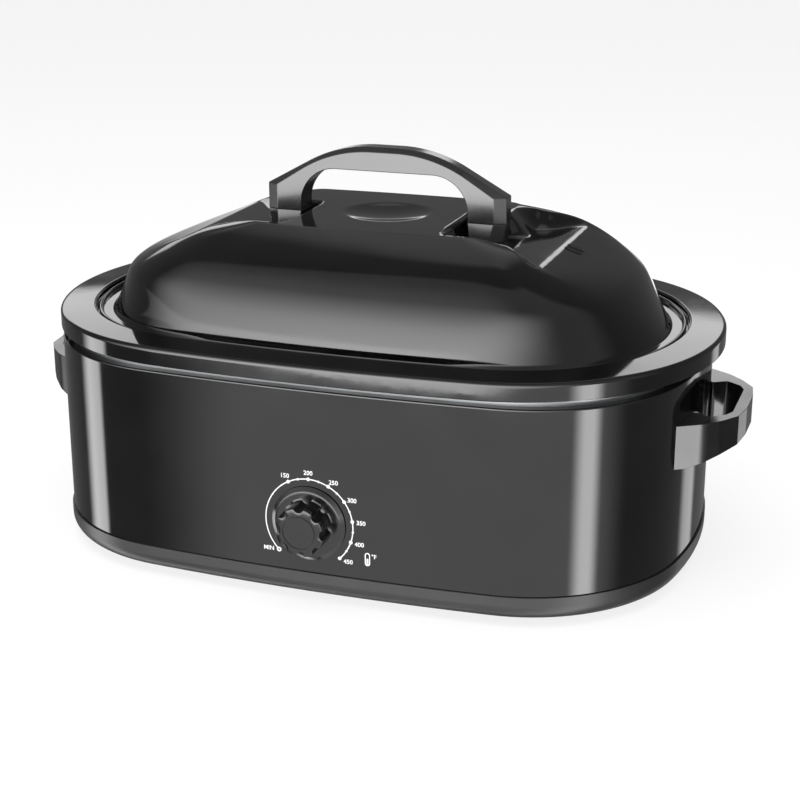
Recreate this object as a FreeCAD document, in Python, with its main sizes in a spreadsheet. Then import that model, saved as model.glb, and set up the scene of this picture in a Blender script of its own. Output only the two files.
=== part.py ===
import FreeCAD, Part
import math
import os
import Sketcher

# Electric roaster oven, about 24 inches over its end handles, standing on four feet.
# Millimetres, +Z up, the control dial faces -Y.  Origin: centre of the footprint, on the table.

SIZES = {
    # feet and moulded base
    "foot_height": 5.0, "foot_radius": 11.0, "foot_inset_end": 78.7, "foot_inset_side": 72.3,
    "foot_plug_radius": 4.0, "foot_plug_height": 5.0,
    "base_height": 20.0, "base_wall": 2.4, "base_rounding": 12.0, "base_flare": 1.4,
    "vent_width": 4.0, "vent_length": 46.0, "vent_pitch": 12.0, "vent_count": 11.0,
    # body shell: half sizes, the bow radii of its long and short sides, and half the flat of an end
    "shell_half_length": 268.7, "shell_half_depth": 180.3, "shell_side_bow": 1855.0,
    "shell_end_bow": 364.0, "shell_end_flat": 47.8, "shell_height": 148.0, "shell_sheet": 0.8,
    "shell_lip": 12.0, "collar_inset": 8.0, "panel_width": 220.0,
    # rim of the insert pan: how far its outer edge stands past the shell, the bow of its long side,
    # half the flat of an end, and how much larger the end's bow is than the corner's radius
    "rim_overhang_end": 11.3, "rim_overhang_side": 5.1, "rim_side_bow": 1458.7,
    "rim_end_ease": 40.1, "rim_end_flat": 23.5, "rim_height": 193.0, "rim_skirt": 14.2,
    "rim_rounding": 2.4, "rim_flat": 28.0, "rim_step": 5.5,
    "pan_sheet": 1.2, "pan_inset": 56.0, "pan_draft": 9.0, "pan_floor": 45.0, "pan_rounding": 24.0,
    # heating well
    "well_gap": 8.6, "well_sheet": 0.8, "well_floor": 34.0, "well_rounding": 16.0,
    # heater, insulation and shield
    "heater_height": 30.0, "heater_bottom": 62.0, "heater_thick": 1.6, "heater_split": 16.0,
    "tab_width": 8.0, "tab_height": 20.0, "tab_inset": 5.0,
    "blanket_thick": 11.0, "blanket_bottom": 57.0, "blanket_height": 107.0, "blanket_notch": 40.0,
    "shield_sheet": 0.8, "shield_height": 18.0, "shield_inset": 9.0,
    "post_radius": 4.5, "post_place_x": 140.0, "post_place_y": 72.0, "boss_radius": 7.0,
    "screw_radius": 2.0, "screw_head_radius": 4.0, "screw_head": 2.4, "screw_clearance": 0.05,
    # lid
    "lid_inset": 31.5, "lid_sheet": 1.2, "lid_bead_width": 3.0, "lid_bead_height": 4.6,
    "dome_height": 83.9, "dome_inset_end": 44.0, "dome_inset_side": 44.4,
    "crest_half_length": 99.0, "crest_half_depth": 74.6,
    "foot_end_flat": 24.0, "crest_corner": 14.0, "foot_end_ease": 41.0, "crest_end_bow": 450.0,
    "dome_side_bow": 1414.0,
    "channel_depth": 16.7, "channel_floor": 40.0, "channel_half_width": 66.0,
    "boss_foot": 56.0, "boss_top": 42.0, "boss_drop": 1.6, "dish_radius": 160.0, "dish_depth": 3.0,
    "crown_drop": 8.0,
    # steam vent slots in the lid's right end
    "steam_place_x": 158.0, "steam_pitch": 9.0, "steam_length": 11.0, "steam_width": 2.4,
    # lid handle: an arch on two feet, its front face and how far its middle stands out past it
    "grip_half_thick": 11.8, "grip_middle_half": 6.5, "grip_side_bevel": 9.8, "grip_top_bevel": 3.5,
    "grip_half_length": 93.5, "grip_inner_half": 72.0, "grip_top": 67.3, "grip_rise": 36.0,
    "grip_flat": 10.5, "grip_shoulder": 115.0, "grip_under": 51.4, "grip_inner_corner": 30.0,
    "grip_joint": 15.0, "grip_foot_taper": 2.5, "grip_screw_depth": 14.0, "washer_radius": 6.5,
    "washer_thick": 1.0,
    # end handles: how far the grip bar stands out, then half the plan back from it and out from the wall
    "loop_top": 140.7, "loop_root": 35.1, "loop_reach": 35.3, "loop_reach_y": 27.5,
    "loop_corner_back": 3.7, "loop_corner_y": 37.5, "loop_bend_back": 21.1, "loop_bend_y": 58.0,
    "loop_root_sink": 7.7, "loop_root_y": 78.8, "loop_bar": 9.2, "loop_inner_y": 29.1,
    "loop_turn_back": 13.3, "loop_turn_y": 38.4, "loop_waist_out": 10.3, "loop_waist_y": 47.0,
    "loop_heel_sink": 1.9, "loop_heel_y": 39.0, "loop_depth_mid": 31.7, "loop_depth_end": 22.3,
    "loop_edge": 1.0, "loop_screw_y": 60.0, "loop_screw_drop": 16.0, "loop_screw_depth": 9.0,
    # control
    "dial_height": 66.0, "knob_gap": 0.6, "skirt_radius": 30.0, "skirt_front_radius": 26.6,
    "skirt_depth": 2.4, "grip_radius": 19.7, "grip_depth": 17.8, "flute_count": 8.0,
    "flute_radius": 4.0, "flute_bite": 3.2, "cap_radius": 13.2, "cap_groove": 0.6,
    "knob_hollow": 13.0, "knob_hollow_depth": 6.0, "hub_radius": 6.5, "hub_length": 2.0,
    "shaft_radius": 3.0, "shaft_clearance": 0.05, "shaft_flat": 0.9, "shaft_grip": 9.0,
    "bushing_radius": 4.75, "bushing_length": 3.4, "nut_radius": 7.0, "nut_thick": 2.4,
    "stat_width": 44.0, "stat_height": 34.0, "stat_depth": 16.0, "stat_plate": 1.0,
    "stat_ear": 8.0, "bulb_radius": 3.0, "bulb_length": 80.0, "bulb_height": 53.0,
    "capillary_radius": 0.9, "capillary_reach": 52.0, "capillary_bend": 6.0,
    # supply
    "gland_height": 45.0, "gland_bore": 4.2, "gland_neck": 8.0, "gland_flange": 12.0,
    "gland_flange_thick": 2.5, "gland_inside": 10.0, "gland_relief": 6.6,
    "block_width": 34.0, "block_depth": 14.0, "block_height": 14.0, "block_place_x": 27.0,
    "lead_radius": 1.5, "lead_height": 26.0, "lead_bend": 7.0, "lead_place_x": 18.5,
    # wire rack
    "rack_wire": 2.2, "rack_bail": 1.9, "rack_rod": 1.5, "rack_gap_end": 47.0,
    "rack_gap_side": 28.4, "rack_corner": 38.0, "rack_height": 14.0, "rack_pitch": 22.0, "rack_rods": 13.0,
    "rack_foot_x": 130.0, "rack_loop_height": 38.0, "rack_loop_half": 45.0,
    "rack_loop_bend": 14.0,
    # running clearance between pieces that lift apart
    "lift_gap": 0.3,
}

doc = FreeCAD.newDocument("RoasterOven")
sheet = doc.addObject("Spreadsheet::Sheet", "Sizes")
for row, (alias, number) in enumerate(SIZES.items(), start=1):
    sheet.set(f"A{row}", alias)
    sheet.set(f"B{row}", str(number))
    sheet.setAlias(f"B{row}", alias)
doc.recompute()


class Dim:
    """A length with its present number and the sheet expression that gives it."""

    def __init__(self, number, text):
        self.number = float(number)
        self.text = text

    def __add__(self, other):
        other = dim(other)
        return Dim(self.number + other.number, f"({self.text} + {other.text})")

    def __sub__(self, other):
        other = dim(other)
        return Dim(self.number - other.number, f"({self.text} - {other.text})")

    def __mul__(self, factor):
        factor = dim(factor)
        return Dim(self.number * factor.number, f"({self.text} * {factor.text})")

    def __truediv__(self, factor):
        factor = dim(factor)
        return Dim(self.number / factor.number, f"({self.text} / {factor.text})")

    def root(self):
        """Square root."""
        return Dim(math.sqrt(self.number), f"sqrt({self.text})")

    def __neg__(self):
        return Dim(-self.number, f"(0 - {self.text})")

    __radd__ = __add__
    __rmul__ = __mul__


def dim(value):
    """Turn a plain number into a Dim; a Dim stays as it is."""
    return value if isinstance(value, Dim) else Dim(value, repr(float(value)))


def size(alias):
    """The Dim of one cell of the sheet."""
    return Dim(sheet.get(alias), f"Sizes.{alias}")


def bind(thing, **sizes):
    """Set properties of an object and tie them to the sheet."""
    for name, value in sizes.items():
        value = dim(value)
        setattr(thing, name, value.number)
        thing.setExpression(name, value.text)


def place(thing, x=0.0, y=0.0, z=0.0, path="Placement"):
    """Put an object at a point, with each coordinate tied to the sheet."""
    for axis, value in zip("xyz", (x, y, z)):
        thing.setExpression(f"{path}.Base.{axis}", dim(value).text)


# ---------------------------------------------------------------- derived heights and clearances
seam = size("foot_height") + size("base_height")
shell_top = seam + size("shell_height")
rim_top = size("rim_height")
ledge_top = rim_top - size("rim_step")
lid_seat = ledge_top + size("lift_gap")
lid_foot = lid_seat + size("lid_sheet")
crest = lid_seat + size("dome_height")
channel_bottom = crest - size("channel_depth")
well_flange = ledge_top - size("pan_sheet") - size("lift_gap")
well_inset = size("pan_inset") - size("well_gap") - size("well_sheet")
front_wall = size("shell_half_depth")
shaft_hole = size("shaft_radius") + size("shaft_clearance")
screw_hole = size("screw_radius") + size("screw_clearance")
tab_place = size("heater_split") / 2 + size("tab_inset")


# ---------------------------------------------------------------- small helpers
def new_body(label):
    body = doc.addObject("PartDesign::Body", label)
    body.Label = label
    return body


def origin_plane(body, role):
    return next(feature for feature in body.Origin.OriginFeatures if feature.Role == role)


def new_sketch(body, name, role="XY_Plane", offset=0.0, lift=0.0):
    """A sketch on one of the body's own planes, moved along its normal and along its second axis."""
    sketch = body.newObject("Sketcher::SketchObject", name)
    sketch.AttachmentSupport = [(origin_plane(body, role), "")]
    sketch.MapMode = "FlatFace"
    sketch.setExpression("AttachmentOffset.Base.z", dim(offset).text)
    sketch.setExpression("AttachmentOffset.Base.y", dim(lift).text)
    return sketch


def constrain(sketch, *items, value=None):
    """Add one constraint; a driving value is tied to the sheet."""
    if value is None:
        sketch.addConstraint(Sketcher.Constraint(*items))
        return
    value = dim(value)
    index = sketch.addConstraint(Sketcher.Constraint(*items, value.number))
    sketch.setExpression(f"Constraints[{index}]", value.text)


def vector(x, y, z=0.0):
    return FreeCAD.Vector(dim(x).number, dim(y).number, dim(z).number)


class Outline:
    """A bowed rectangle: two long arcs, two end arcs and four corner arcs, all tangent."""

    def __init__(self, half_length, half_depth, side_bow, end_bow, corner):
        self.half_length = dim(half_length)
        self.half_depth = dim(half_depth)
        self.side_bow = dim(side_bow)
        self.end_bow = dim(end_bow)
        self.corner = dim(corner)

    def inset(self, amount):
        """The outline moved inwards everywhere by the same amount."""
        return Outline(self.half_length - amount, self.half_depth - amount, self.side_bow - amount,
                       self.end_bow - amount, self.corner - amount)

    def corner_centre(self):
        """Centre of the corner arc in the first quadrant, from the tangency of three circles."""
        side_y = self.half_depth.number - self.side_bow.number
        end_x = self.half_length.number - self.end_bow.number
        reach_side = self.side_bow.number - self.corner.number
        reach_end = self.end_bow.number - self.corner.number
        apart = math.hypot(end_x, side_y)
        along = (reach_side ** 2 - reach_end ** 2 + apart ** 2) / (2 * apart)
        across = math.sqrt(reach_side ** 2 - along ** 2)
        ux, uy = end_x / apart, -side_y / apart
        candidates = [(along * ux + side * across * uy, side_y + along * uy - side * across * ux)
                      for side in (1, -1)]
        return max(candidates, key=lambda point: point[0] + point[1])

    def draw(self, sketch):
        """Draw the eight arcs and constrain them fully."""
        first = sketch.GeometryCount
        centre_x, centre_y = self.corner_centre()
        side_y = self.half_depth.number - self.side_bow.number
        end_x = self.half_length.number - self.end_bow.number
        side_angle = math.atan2(centre_y - side_y, centre_x)
        end_angle = math.atan2(centre_y, centre_x - end_x)
        turn = math.pi / 2
        arcs = []
        for quarter, (radius, bow_x, bow_y, low, high) in enumerate((
                (self.end_bow.number, end_x, 0.0, -end_angle, end_angle),
                (self.side_bow.number, 0.0, side_y, side_angle, math.pi - side_angle),
                (self.end_bow.number, -end_x, 0.0, math.pi - end_angle, math.pi + end_angle),
                (self.side_bow.number, 0.0, -side_y, math.pi + side_angle, 2 * math.pi - side_angle))):
            arcs.append((vector(bow_x, bow_y), radius, low, high))
            sign_x = 1 if quarter in (0, 3) else -1
            sign_y = 1 if quarter in (0, 1) else -1
            start = (end_angle, math.pi - side_angle, math.pi + end_angle, -side_angle)[quarter]
            stop = (side_angle, math.pi - end_angle, math.pi + side_angle, -end_angle)[quarter]
            arcs.append((vector(sign_x * centre_x, sign_y * centre_y), self.corner.number, start, stop))
        for centre, radius, low, high in arcs:
            circle = Part.Circle(centre, FreeCAD.Vector(0, 0, 1), radius)
            sketch.addGeometry(Part.ArcOfCircle(circle, low, high))
        count = len(arcs)
        for index in range(count):
            constrain(sketch, "Tangent", first + index, 2, first + (index + 1) % count, 1)
        end_right, side_back, end_left, side_front = first, first + 2, first + 4, first + 6
        for arc in (end_right, end_left):
            constrain(sketch, "PointOnObject", arc, 3, -1)
        for arc in (side_back, side_front):
            constrain(sketch, "PointOnObject", arc, 3, -2)
        constrain(sketch, "Equal", end_right, end_left)
        constrain(sketch, "Equal", side_back, side_front)
        for corner in (3, 5, 7):
            constrain(sketch, "Equal", first + 1, first + corner)
        constrain(sketch, "Radius", end_right, value=self.end_bow)
        constrain(sketch, "Radius", side_back, value=self.side_bow)
        constrain(sketch, "Radius", first + 1, value=self.corner)
        reach = self.end_bow - self.half_length
        constrain(sketch, "DistanceX", end_right, 3, -1, 1, value=reach)
        constrain(sketch, "DistanceX", -1, 1, end_left, 3, value=reach)
        reach = self.side_bow - self.half_depth
        constrain(sketch, "DistanceY", side_back, 3, -1, 1, value=reach)
        constrain(sketch, "DistanceY", -1, 1, side_front, 3, value=reach)


def outline_sketch(body, name, outlines, height):
    """A horizontal sketch with one outline, or a ring between two."""
    sketch = new_sketch(body, name, offset=height)
    for outline in outlines:
        outline.draw(sketch)
    return sketch


def draw_polygon(sketch, points):
    """Closed polygon whose corners are all tied to the sheet."""
    first = sketch.GeometryCount
    count = len(points)
    for index in range(count):
        start, stop = points[index], points[(index + 1) % count]
        sketch.addGeometry(Part.LineSegment(vector(*start), vector(*stop)))
    for index in range(count):
        constrain(sketch, "Coincident", first + index, 2, first + (index + 1) % count, 1)
    for index, (x, y) in enumerate(points):
        pin_point(sketch, first + index, 1, x, y)


def pin_point(sketch, geometry, end, x, y):
    """Hold a point of the sketch at x, y, each tied to the sheet."""
    for kind, value in (("DistanceX", dim(x)), ("DistanceY", dim(y))):
        if abs(value.number) < 1e-9:
            constrain(sketch, "PointOnObject", geometry, end, -2 if kind == "DistanceX" else -1)
        else:
            constrain(sketch, kind, -1, 1, geometry, end, value=value)


def draw_circle(sketch, x, y, radius):
    radius = dim(radius)
    circle = Part.Circle(vector(x, y), FreeCAD.Vector(0, 0, 1), radius.number)
    index = sketch.addGeometry(circle)
    constrain(sketch, "Radius", index, value=radius)
    pin_point(sketch, index, 3, x, y)


def pad(body, sketch, length, down=False, both=False):
    feature = body.newObject("PartDesign::Pad", f"{sketch.Name}Pad")
    feature.Profile = sketch
    feature.Reversed = down
    feature.Midplane = both
    bind(feature, Length=length)
    doc.recompute()
    return feature


def pocket(body, sketch, length, up=False, both=False):
    """Cut a pocket, and refuse one that removed nothing."""
    before = body.Shape.Volume
    feature = body.newObject("PartDesign::Pocket", f"{sketch.Name}Pocket")
    feature.Profile = sketch
    feature.Reversed = up
    feature.Midplane = both
    bind(feature, Length=length)
    doc.recompute()
    if not body.Shape.Volume < before:
        raise RuntimeError(f"{feature.Name} cuts nothing")
    return feature


def fillet(body, radius, chosen):
    """Round every edge of the body's tip that the test chooses."""
    base = body.Tip
    names = [f"Edge{index}" for index, edge in enumerate(base.Shape.Edges, start=1) if chosen(edge)]
    feature = body.newObject("PartDesign::Fillet", "Rounding")
    feature.Base = (base, names)
    bind(feature, Radius=radius)
    doc.recompute()
    return feature


def chamfer(body, amount, chosen):
    """Chamfer every edge of the body's tip that the test chooses."""
    base = body.Tip
    names = [f"Edge{index}" for index, edge in enumerate(base.Shape.Edges, start=1) if chosen(edge)]
    feature = body.newObject("PartDesign::Chamfer", "Bevel")
    feature.Base = (base, names)
    bind(feature, Size=amount)
    doc.recompute()
    return feature


def at_height(height, inside=None):
    """Test for level edges at a height, optionally only those whose reach along X fits a limit."""
    level = dim(height).number

    def chosen(edge):
        box = edge.BoundBox
        flat = abs(box.ZMin - level) < 1e-4 and abs(box.ZMax - level) < 1e-4
        return flat and (inside is None or inside(edge))
    return chosen


def on_outline(outline):
    """Test for edges that lie on an outline, by its reach along X and Y."""
    length, depth = outline.half_length.number, outline.half_depth.number
    centre_x, centre_y = outline.corner_centre()
    corner = outline.corner.number

    def chosen(edge):
        point = edge.valueAt((edge.FirstParameter + edge.LastParameter) / 2)
        x, y = abs(point.x), abs(point.y)
        on_end = y < 1 and abs(x - length) < 1e-3
        on_side = x < 1 and abs(y - depth) < 1e-3
        return on_end or on_side or abs(math.hypot(x - centre_x, y - centre_y) - corner) < 1e-3
    return chosen


def cylinder(name, radius, height, x=0.0, y=0.0, z=0.0, axis="Z"):
    """A Part cylinder that starts at a point and runs along +axis; a minus sign turns it round."""
    thing = doc.addObject("Part::Cylinder", name)
    bind(thing, Radius=radius, Height=height)
    turns = {"Z": ((0, 0, 1), 0), "-Z": ((1, 0, 0), 180), "X": ((0, 1, 0), 90), "-X": ((0, 1, 0), -90),
             "Y": ((1, 0, 0), -90), "-Y": ((1, 0, 0), 90)}
    around, angle = turns[axis]
    thing.Placement = FreeCAD.Placement(FreeCAD.Vector(), FreeCAD.Rotation(FreeCAD.Vector(*around), angle))
    place(thing, x, y, z)
    return thing


def box(name, length, width, height, x=0.0, y=0.0, z=0.0):
    """A Part box centred on x, y that stands on z."""
    thing = doc.addObject("Part::Box", name)
    bind(thing, Length=length, Width=width, Height=height)
    place(thing, dim(x) - dim(length) / 2, dim(y) - dim(width) / 2, z)
    return thing


def joined(label, things, kind="Part::MultiFuse"):
    """Fuse several objects into one piece, or group them as separate solids."""
    thing = doc.addObject(kind, label)
    thing.Label = label
    if kind == "Part::MultiFuse":
        thing.Shapes = things
    else:
        thing.Links = things
    return thing


def grouped(label, things):
    return joined(label, things, "Part::Compound")


def cut(label, base, *tools):
    """Cut one or more objects from a base."""
    thing = doc.addObject("Part::Cut", label)
    thing.Label = label
    thing.Base = base
    thing.Tool = tools[0] if len(tools) == 1 else joined(f"{label}_tools", list(tools))
    return thing


def corners(place_x, place_y):
    """The four places that mirror one another, with names for them."""
    for side, sign_x in (("left", -1), ("right", 1)):
        for end, sign_y in (("front", -1), ("rear", 1)):
            yield f"{end}_{side}", dim(place_x) * sign_x, dim(place_y) * sign_y


# ---------------------------------------------------------------- outlines that several pieces share
shell_outline = Outline(size("shell_half_length"), size("shell_half_depth"), size("shell_side_bow"),
                        size("shell_end_bow"), size("shell_half_depth") - size("shell_end_flat"))
rim_half_depth = size("shell_half_depth") + size("rim_overhang_side")
rim_corner = rim_half_depth - size("rim_end_flat")
rim_outline = Outline(size("shell_half_length") + size("rim_overhang_end"), rim_half_depth,
                      size("rim_side_bow"), rim_corner + size("rim_end_ease"), rim_corner)
dome_half_length = rim_outline.half_length - size("dome_inset_end")
dome_half_depth = rim_outline.half_depth - size("dome_inset_side")
dome_foot_corner = dome_half_depth - size("foot_end_flat")
foot_place = (size("shell_half_length") - size("foot_inset_end"),
              size("shell_half_depth") - size("foot_inset_side"))
shell_inside = shell_outline.inset(size("shell_sheet"))
base_outline = shell_outline.inset(-size("base_flare"))
well_outline = rim_outline.inset(well_inset)
NODES = {}


def keep(label, thing):
    """Register a sub-part under the name of its node."""
    thing.Label = label
    NODES[label] = thing


# ---------------------------------------------------------------- base, feet and their screws
def make_base_tray():
    body = new_body("base_tray")
    foot, wall = size("foot_height"), size("base_wall")
    pad(body, outline_sketch(body, "TrayOuter", [base_outline], foot), size("base_height"))
    inside = base_outline.inset(wall)
    hollow = outline_sketch(body, "TrayInner", [inside], seam)
    pocket(body, hollow, size("base_height") - wall)
    fillet(body, size("base_rounding") - wall, at_height(foot + wall))
    fillet(body, size("base_rounding"), at_height(foot))
    bosses = new_sketch(body, "TrayBosses", offset=foot + wall)
    for _, x, y in corners(size("post_place_x"), size("post_place_y")):
        draw_circle(bosses, x, y, size("boss_radius"))
    pad(body, bosses, size("shield_height") - foot - wall)
    holes = new_sketch(body, "TrayHoles", offset=foot)
    for _, x, y in corners(size("post_place_x"), size("post_place_y")):
        draw_circle(holes, x, y, screw_hole)
    for _, x, y in corners(*foot_place):
        draw_circle(holes, x, y, size("foot_plug_radius"))
    pocket(body, holes, size("base_height"), up=True)
    sinks = new_sketch(body, "TrayScrewSinks", offset=foot)
    for _, x, y in corners(size("post_place_x"), size("post_place_y")):
        draw_circle(sinks, x, y, size("screw_head_radius") + size("screw_clearance"))
    pocket(body, sinks, size("screw_head"), up=True)
    slot = new_sketch(body, "TrayVent", offset=foot)
    row_length = size("vent_pitch") * (size("vent_count") - 1)
    left = -row_length / 2
    half_width, half_length = size("vent_width") / 2, size("vent_length") / 2
    draw_polygon(slot, [(left - half_width, -half_length), (left + half_width, -half_length),
                        (left + half_width, half_length), (left - half_width, half_length)])
    vent = pocket(body, slot, wall, up=True)
    row = body.newObject("PartDesign::LinearPattern", "TrayVents")
    row.Originals = [vent]
    row.Direction = (slot, ["H_Axis"])
    row.Occurrences = int(SIZES["vent_count"])
    bind(row, Length=row_length)
    body.Tip = row
    doc.recompute()
    keep("base_tray", body)


def make_feet():
    """Four rubber feet, each with a plug that is pressed through the tray's floor."""
    for name, x, y in corners(*foot_place):
        pad_part = cylinder(f"FootPad_{name}", size("foot_radius"), size("foot_height"), x, y)
        plug = cylinder(f"FootPlug_{name}", size("foot_plug_radius"), size("foot_plug_height"),
                        x, y, size("foot_height"))
        keep(f"foot_{name}", joined(f"foot_{name}", [pad_part, plug]))


def make_base_screws():
    """Four screws from below, through the tray and the shield into the well's posts."""
    screws = []
    length = size("well_floor") - size("foot_height") - size("screw_head") - 2
    for name, x, y in corners(size("post_place_x"), size("post_place_y")):
        head = cylinder(f"BaseScrewHead_{name}", size("screw_head_radius"), size("screw_head"),
                        x, y, size("foot_height"))
        shank = cylinder(f"BaseScrewShank_{name}", size("screw_radius"), length + size("screw_head"),
                         x, y, size("foot_height"))
        screws.append(joined(f"BaseScrew_{name}", [head, shank]))
    keep("base_screws", grouped("base_screws", screws))


# ---------------------------------------------------------------- shell, well and what lies between
def make_outer_shell():
    """Sheet wall with a turned-in top lip, made as a wrap round the front and a panel at the rear."""
    body = new_body("ShellBlank")
    sheet_metal = size("shell_sheet")
    wall = outline_sketch(body, "ShellWall", [shell_outline, shell_inside], seam)
    pad(body, wall, size("shell_height"))
    lip_edge = shell_outline.inset(size("shell_lip"))
    lip = outline_sketch(body, "ShellLip", [shell_inside, lip_edge], shell_top)
    pad(body, lip, sheet_metal, down=True)
    fillet(body, sheet_metal * 0.9, at_height(shell_top, on_outline(shell_outline)))
    through = size("shell_lip")
    front = new_sketch(body, "ShellDialHole", "XZ_Plane", front_wall)
    draw_circle(front, 0, size("dial_height"), size("bushing_radius") + size("screw_clearance"))
    pocket(body, front, through)
    rear = new_sketch(body, "ShellGlandHole", "XZ_Plane", -front_wall)
    draw_circle(rear, 0, size("gland_height"), size("gland_neck"))
    pocket(body, rear, through, up=True)
    ends = new_sketch(body, "ShellHandleHoles", "YZ_Plane", 0)
    for sign in (-1, 1):
        draw_circle(ends, size("loop_screw_y") * sign, size("loop_top") - size("loop_screw_drop"),
                    screw_hole)
    pocket(body, ends, size("shell_half_length") * 2, both=True)
    window = box("RearWindow", size("panel_width"), size("shell_half_depth"), size("shell_height"),
                 0, size("shell_half_depth"), seam)
    keep("outer_shell", cut("outer_shell", body, window))
    panel = doc.addObject("Part::Common", "rear_panel")
    panel.Base = body
    panel.Tool = window
    keep("rear_panel", panel)


def make_well_liner():
    """The heating well: a deep steel tub with a flange that carries the insert pan."""
    body = new_body("well_liner")
    sheet_metal = size("well_sheet")
    floor = size("well_floor")
    pad(body, outline_sketch(body, "WellOuter", [well_outline], floor), well_flange - floor)
    collar = shell_outline.inset(size("collar_inset"))
    flange = outline_sketch(body, "WellFlange", [collar], well_flange)
    pad(body, flange, sheet_metal, down=True)
    inside = well_outline.inset(sheet_metal)
    tub = outline_sketch(body, "WellInner", [inside], well_flange)
    pocket(body, tub, well_flange - floor - sheet_metal)
    fillet(body, size("well_rounding") - sheet_metal, at_height(floor + sheet_metal))
    fillet(body, size("well_rounding"), at_height(floor))
    ring = outline_sketch(body, "WellCollar", [collar, collar.inset(sheet_metal)], well_flange)
    pad(body, ring, well_flange - shell_top, down=True)
    keep("well_liner", body)


def make_well_posts():
    """Four threaded posts welded under the well's floor, that the base screws pull on."""
    posts = []
    start = size("shield_height") + size("shield_sheet")
    for name, x, y in corners(size("post_place_x"), size("post_place_y")):
        post = cylinder(f"PostBlank_{name}", size("post_radius"), size("well_floor") - start, x, y, start)
        bore = cylinder(f"PostBore_{name}", screw_hole, size("well_floor") - start - 1, x, y, start)
        posts.append(cut(f"Post_{name}", post, bore))
    keep("well_posts", grouped("well_posts", posts))


def make_heat_shield():
    body = new_body("heat_shield")
    low = size("shield_height")
    plate = base_outline.inset(size("shield_inset"))
    pad(body, outline_sketch(body, "ShieldPlate", [plate], low), size("shield_sheet"))
    holes = new_sketch(body, "ShieldHoles", offset=low)
    for _, x, y in corners(size("post_place_x"), size("post_place_y")):
        draw_circle(holes, x, y, screw_hole)
    pocket(body, holes, size("shield_sheet"), up=True)
    keep("heat_shield", body)


def make_heater_band():
    """Flat mica band element around the well, open at the rear, with a terminal at each end."""
    body = new_body("heater_band")
    outer = well_outline.inset(-size("heater_thick"))
    ring = outline_sketch(body, "HeaterRing", [outer, well_outline], size("heater_bottom"))
    pad(body, ring, size("heater_height"))
    gap = new_sketch(body, "HeaterSplit", offset=size("heater_bottom"))
    half = size("heater_split") / 2
    near, far = well_outline.half_depth - size("heater_split"), well_outline.half_depth + size("heater_split")
    draw_polygon(gap, [(-half, near), (half, near), (half, far), (-half, far)])
    pocket(body, gap, size("heater_height"), up=True)
    keep("heater_band", body)


def make_heater_terminals():
    """Two flat tabs on the back of the band, one on each side of its split."""
    tabs = []
    for side, sign in (("left", -1), ("right", 1)):
        tabs.append(box(f"HeaterTab_{side}", size("tab_width"), size("heater_thick"), size("tab_height"),
                        tab_place * sign, well_outline.half_depth + size("heater_thick") * 1.5,
                        size("heater_bottom") + size("tab_inset")))
    keep("heater_terminals", grouped("heater_terminals", tabs))


def make_insulation():
    """Glass fibre blanket around the heater band, notched at the rear for the terminals."""
    body = new_body("insulation_blanket")
    inner = well_outline.inset(-size("heater_thick"))
    outer = inner.inset(-size("blanket_thick"))
    ring = outline_sketch(body, "BlanketRing", [outer, inner], size("blanket_bottom"))
    pad(body, ring, size("blanket_height"))
    notch = new_sketch(body, "BlanketNotch", offset=size("blanket_bottom"))
    half = size("blanket_notch") / 2
    near, far = inner.half_depth - size("blanket_thick"), outer.half_depth + size("blanket_thick")
    draw_polygon(notch, [(-half, near), (half, near), (half, far), (-half, far)])
    pocket(body, notch, size("heater_bottom") + size("heater_height") - size("blanket_bottom"), up=True)
    keep("insulation_blanket", body)


# ---------------------------------------------------------------- insert pan and rack
def loft(body, name, sketches, cutting=False, ruled=False):
    kind = "PartDesign::SubtractiveLoft" if cutting else "PartDesign::AdditiveLoft"
    feature = body.newObject(kind, name)
    feature.Profile = sketches[0]
    feature.Sections = sketches[1:]
    feature.Ruled = ruled
    doc.recompute()
    return feature


def make_insert_pan():
    """The lift-out cooking pan: a tapered tub hung from a stepped rim with a turned-down skirt."""
    body = new_body("insert_pan")
    metal = size("pan_sheet")
    step_outline = rim_outline.inset(size("rim_flat"))
    mouth = rim_outline.inset(size("pan_inset"))
    bottom = mouth.inset(size("pan_draft"))
    floor = size("pan_floor")
    tub = [outline_sketch(body, "PanMouth", [mouth], ledge_top),
           outline_sketch(body, "PanBottom", [bottom], floor)]
    loft(body, "PanTub", tub, ruled=True)
    ledge = outline_sketch(body, "PanLedge", [step_outline], ledge_top)
    pad(body, ledge, metal, down=True)
    hollow = [outline_sketch(body, "PanMouthInside", [mouth.inset(metal)], ledge_top),
              outline_sketch(body, "PanBottomInside", [bottom.inset(metal)], floor + metal)]
    loft(body, "PanHollow", hollow, cutting=True, ruled=True)
    fillet(body, size("pan_rounding") - metal, at_height(floor + metal))
    fillet(body, size("pan_rounding"), at_height(floor))
    step = outline_sketch(body, "PanStep", [step_outline, step_outline.inset(metal)], rim_top)
    pad(body, step, size("rim_step") + metal, down=True)
    flat = outline_sketch(body, "PanRimFlat", [rim_outline, step_outline.inset(metal)], rim_top)
    pad(body, flat, metal, down=True)
    skirt = outline_sketch(body, "PanSkirt", [rim_outline, rim_outline.inset(metal)], rim_top)
    pad(body, skirt, size("rim_skirt"), down=True)
    fillet(body, size("rim_rounding"), at_height(rim_top, on_outline(rim_outline)))
    keep("insert_pan", body)


def sweep(body, name, path, profile):
    """Carry a round section along a path."""
    pipe = body.newObject("PartDesign::AdditivePipe", name)
    pipe.Profile = profile
    pipe.Spine = path
    doc.recompute()
    return pipe


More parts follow.
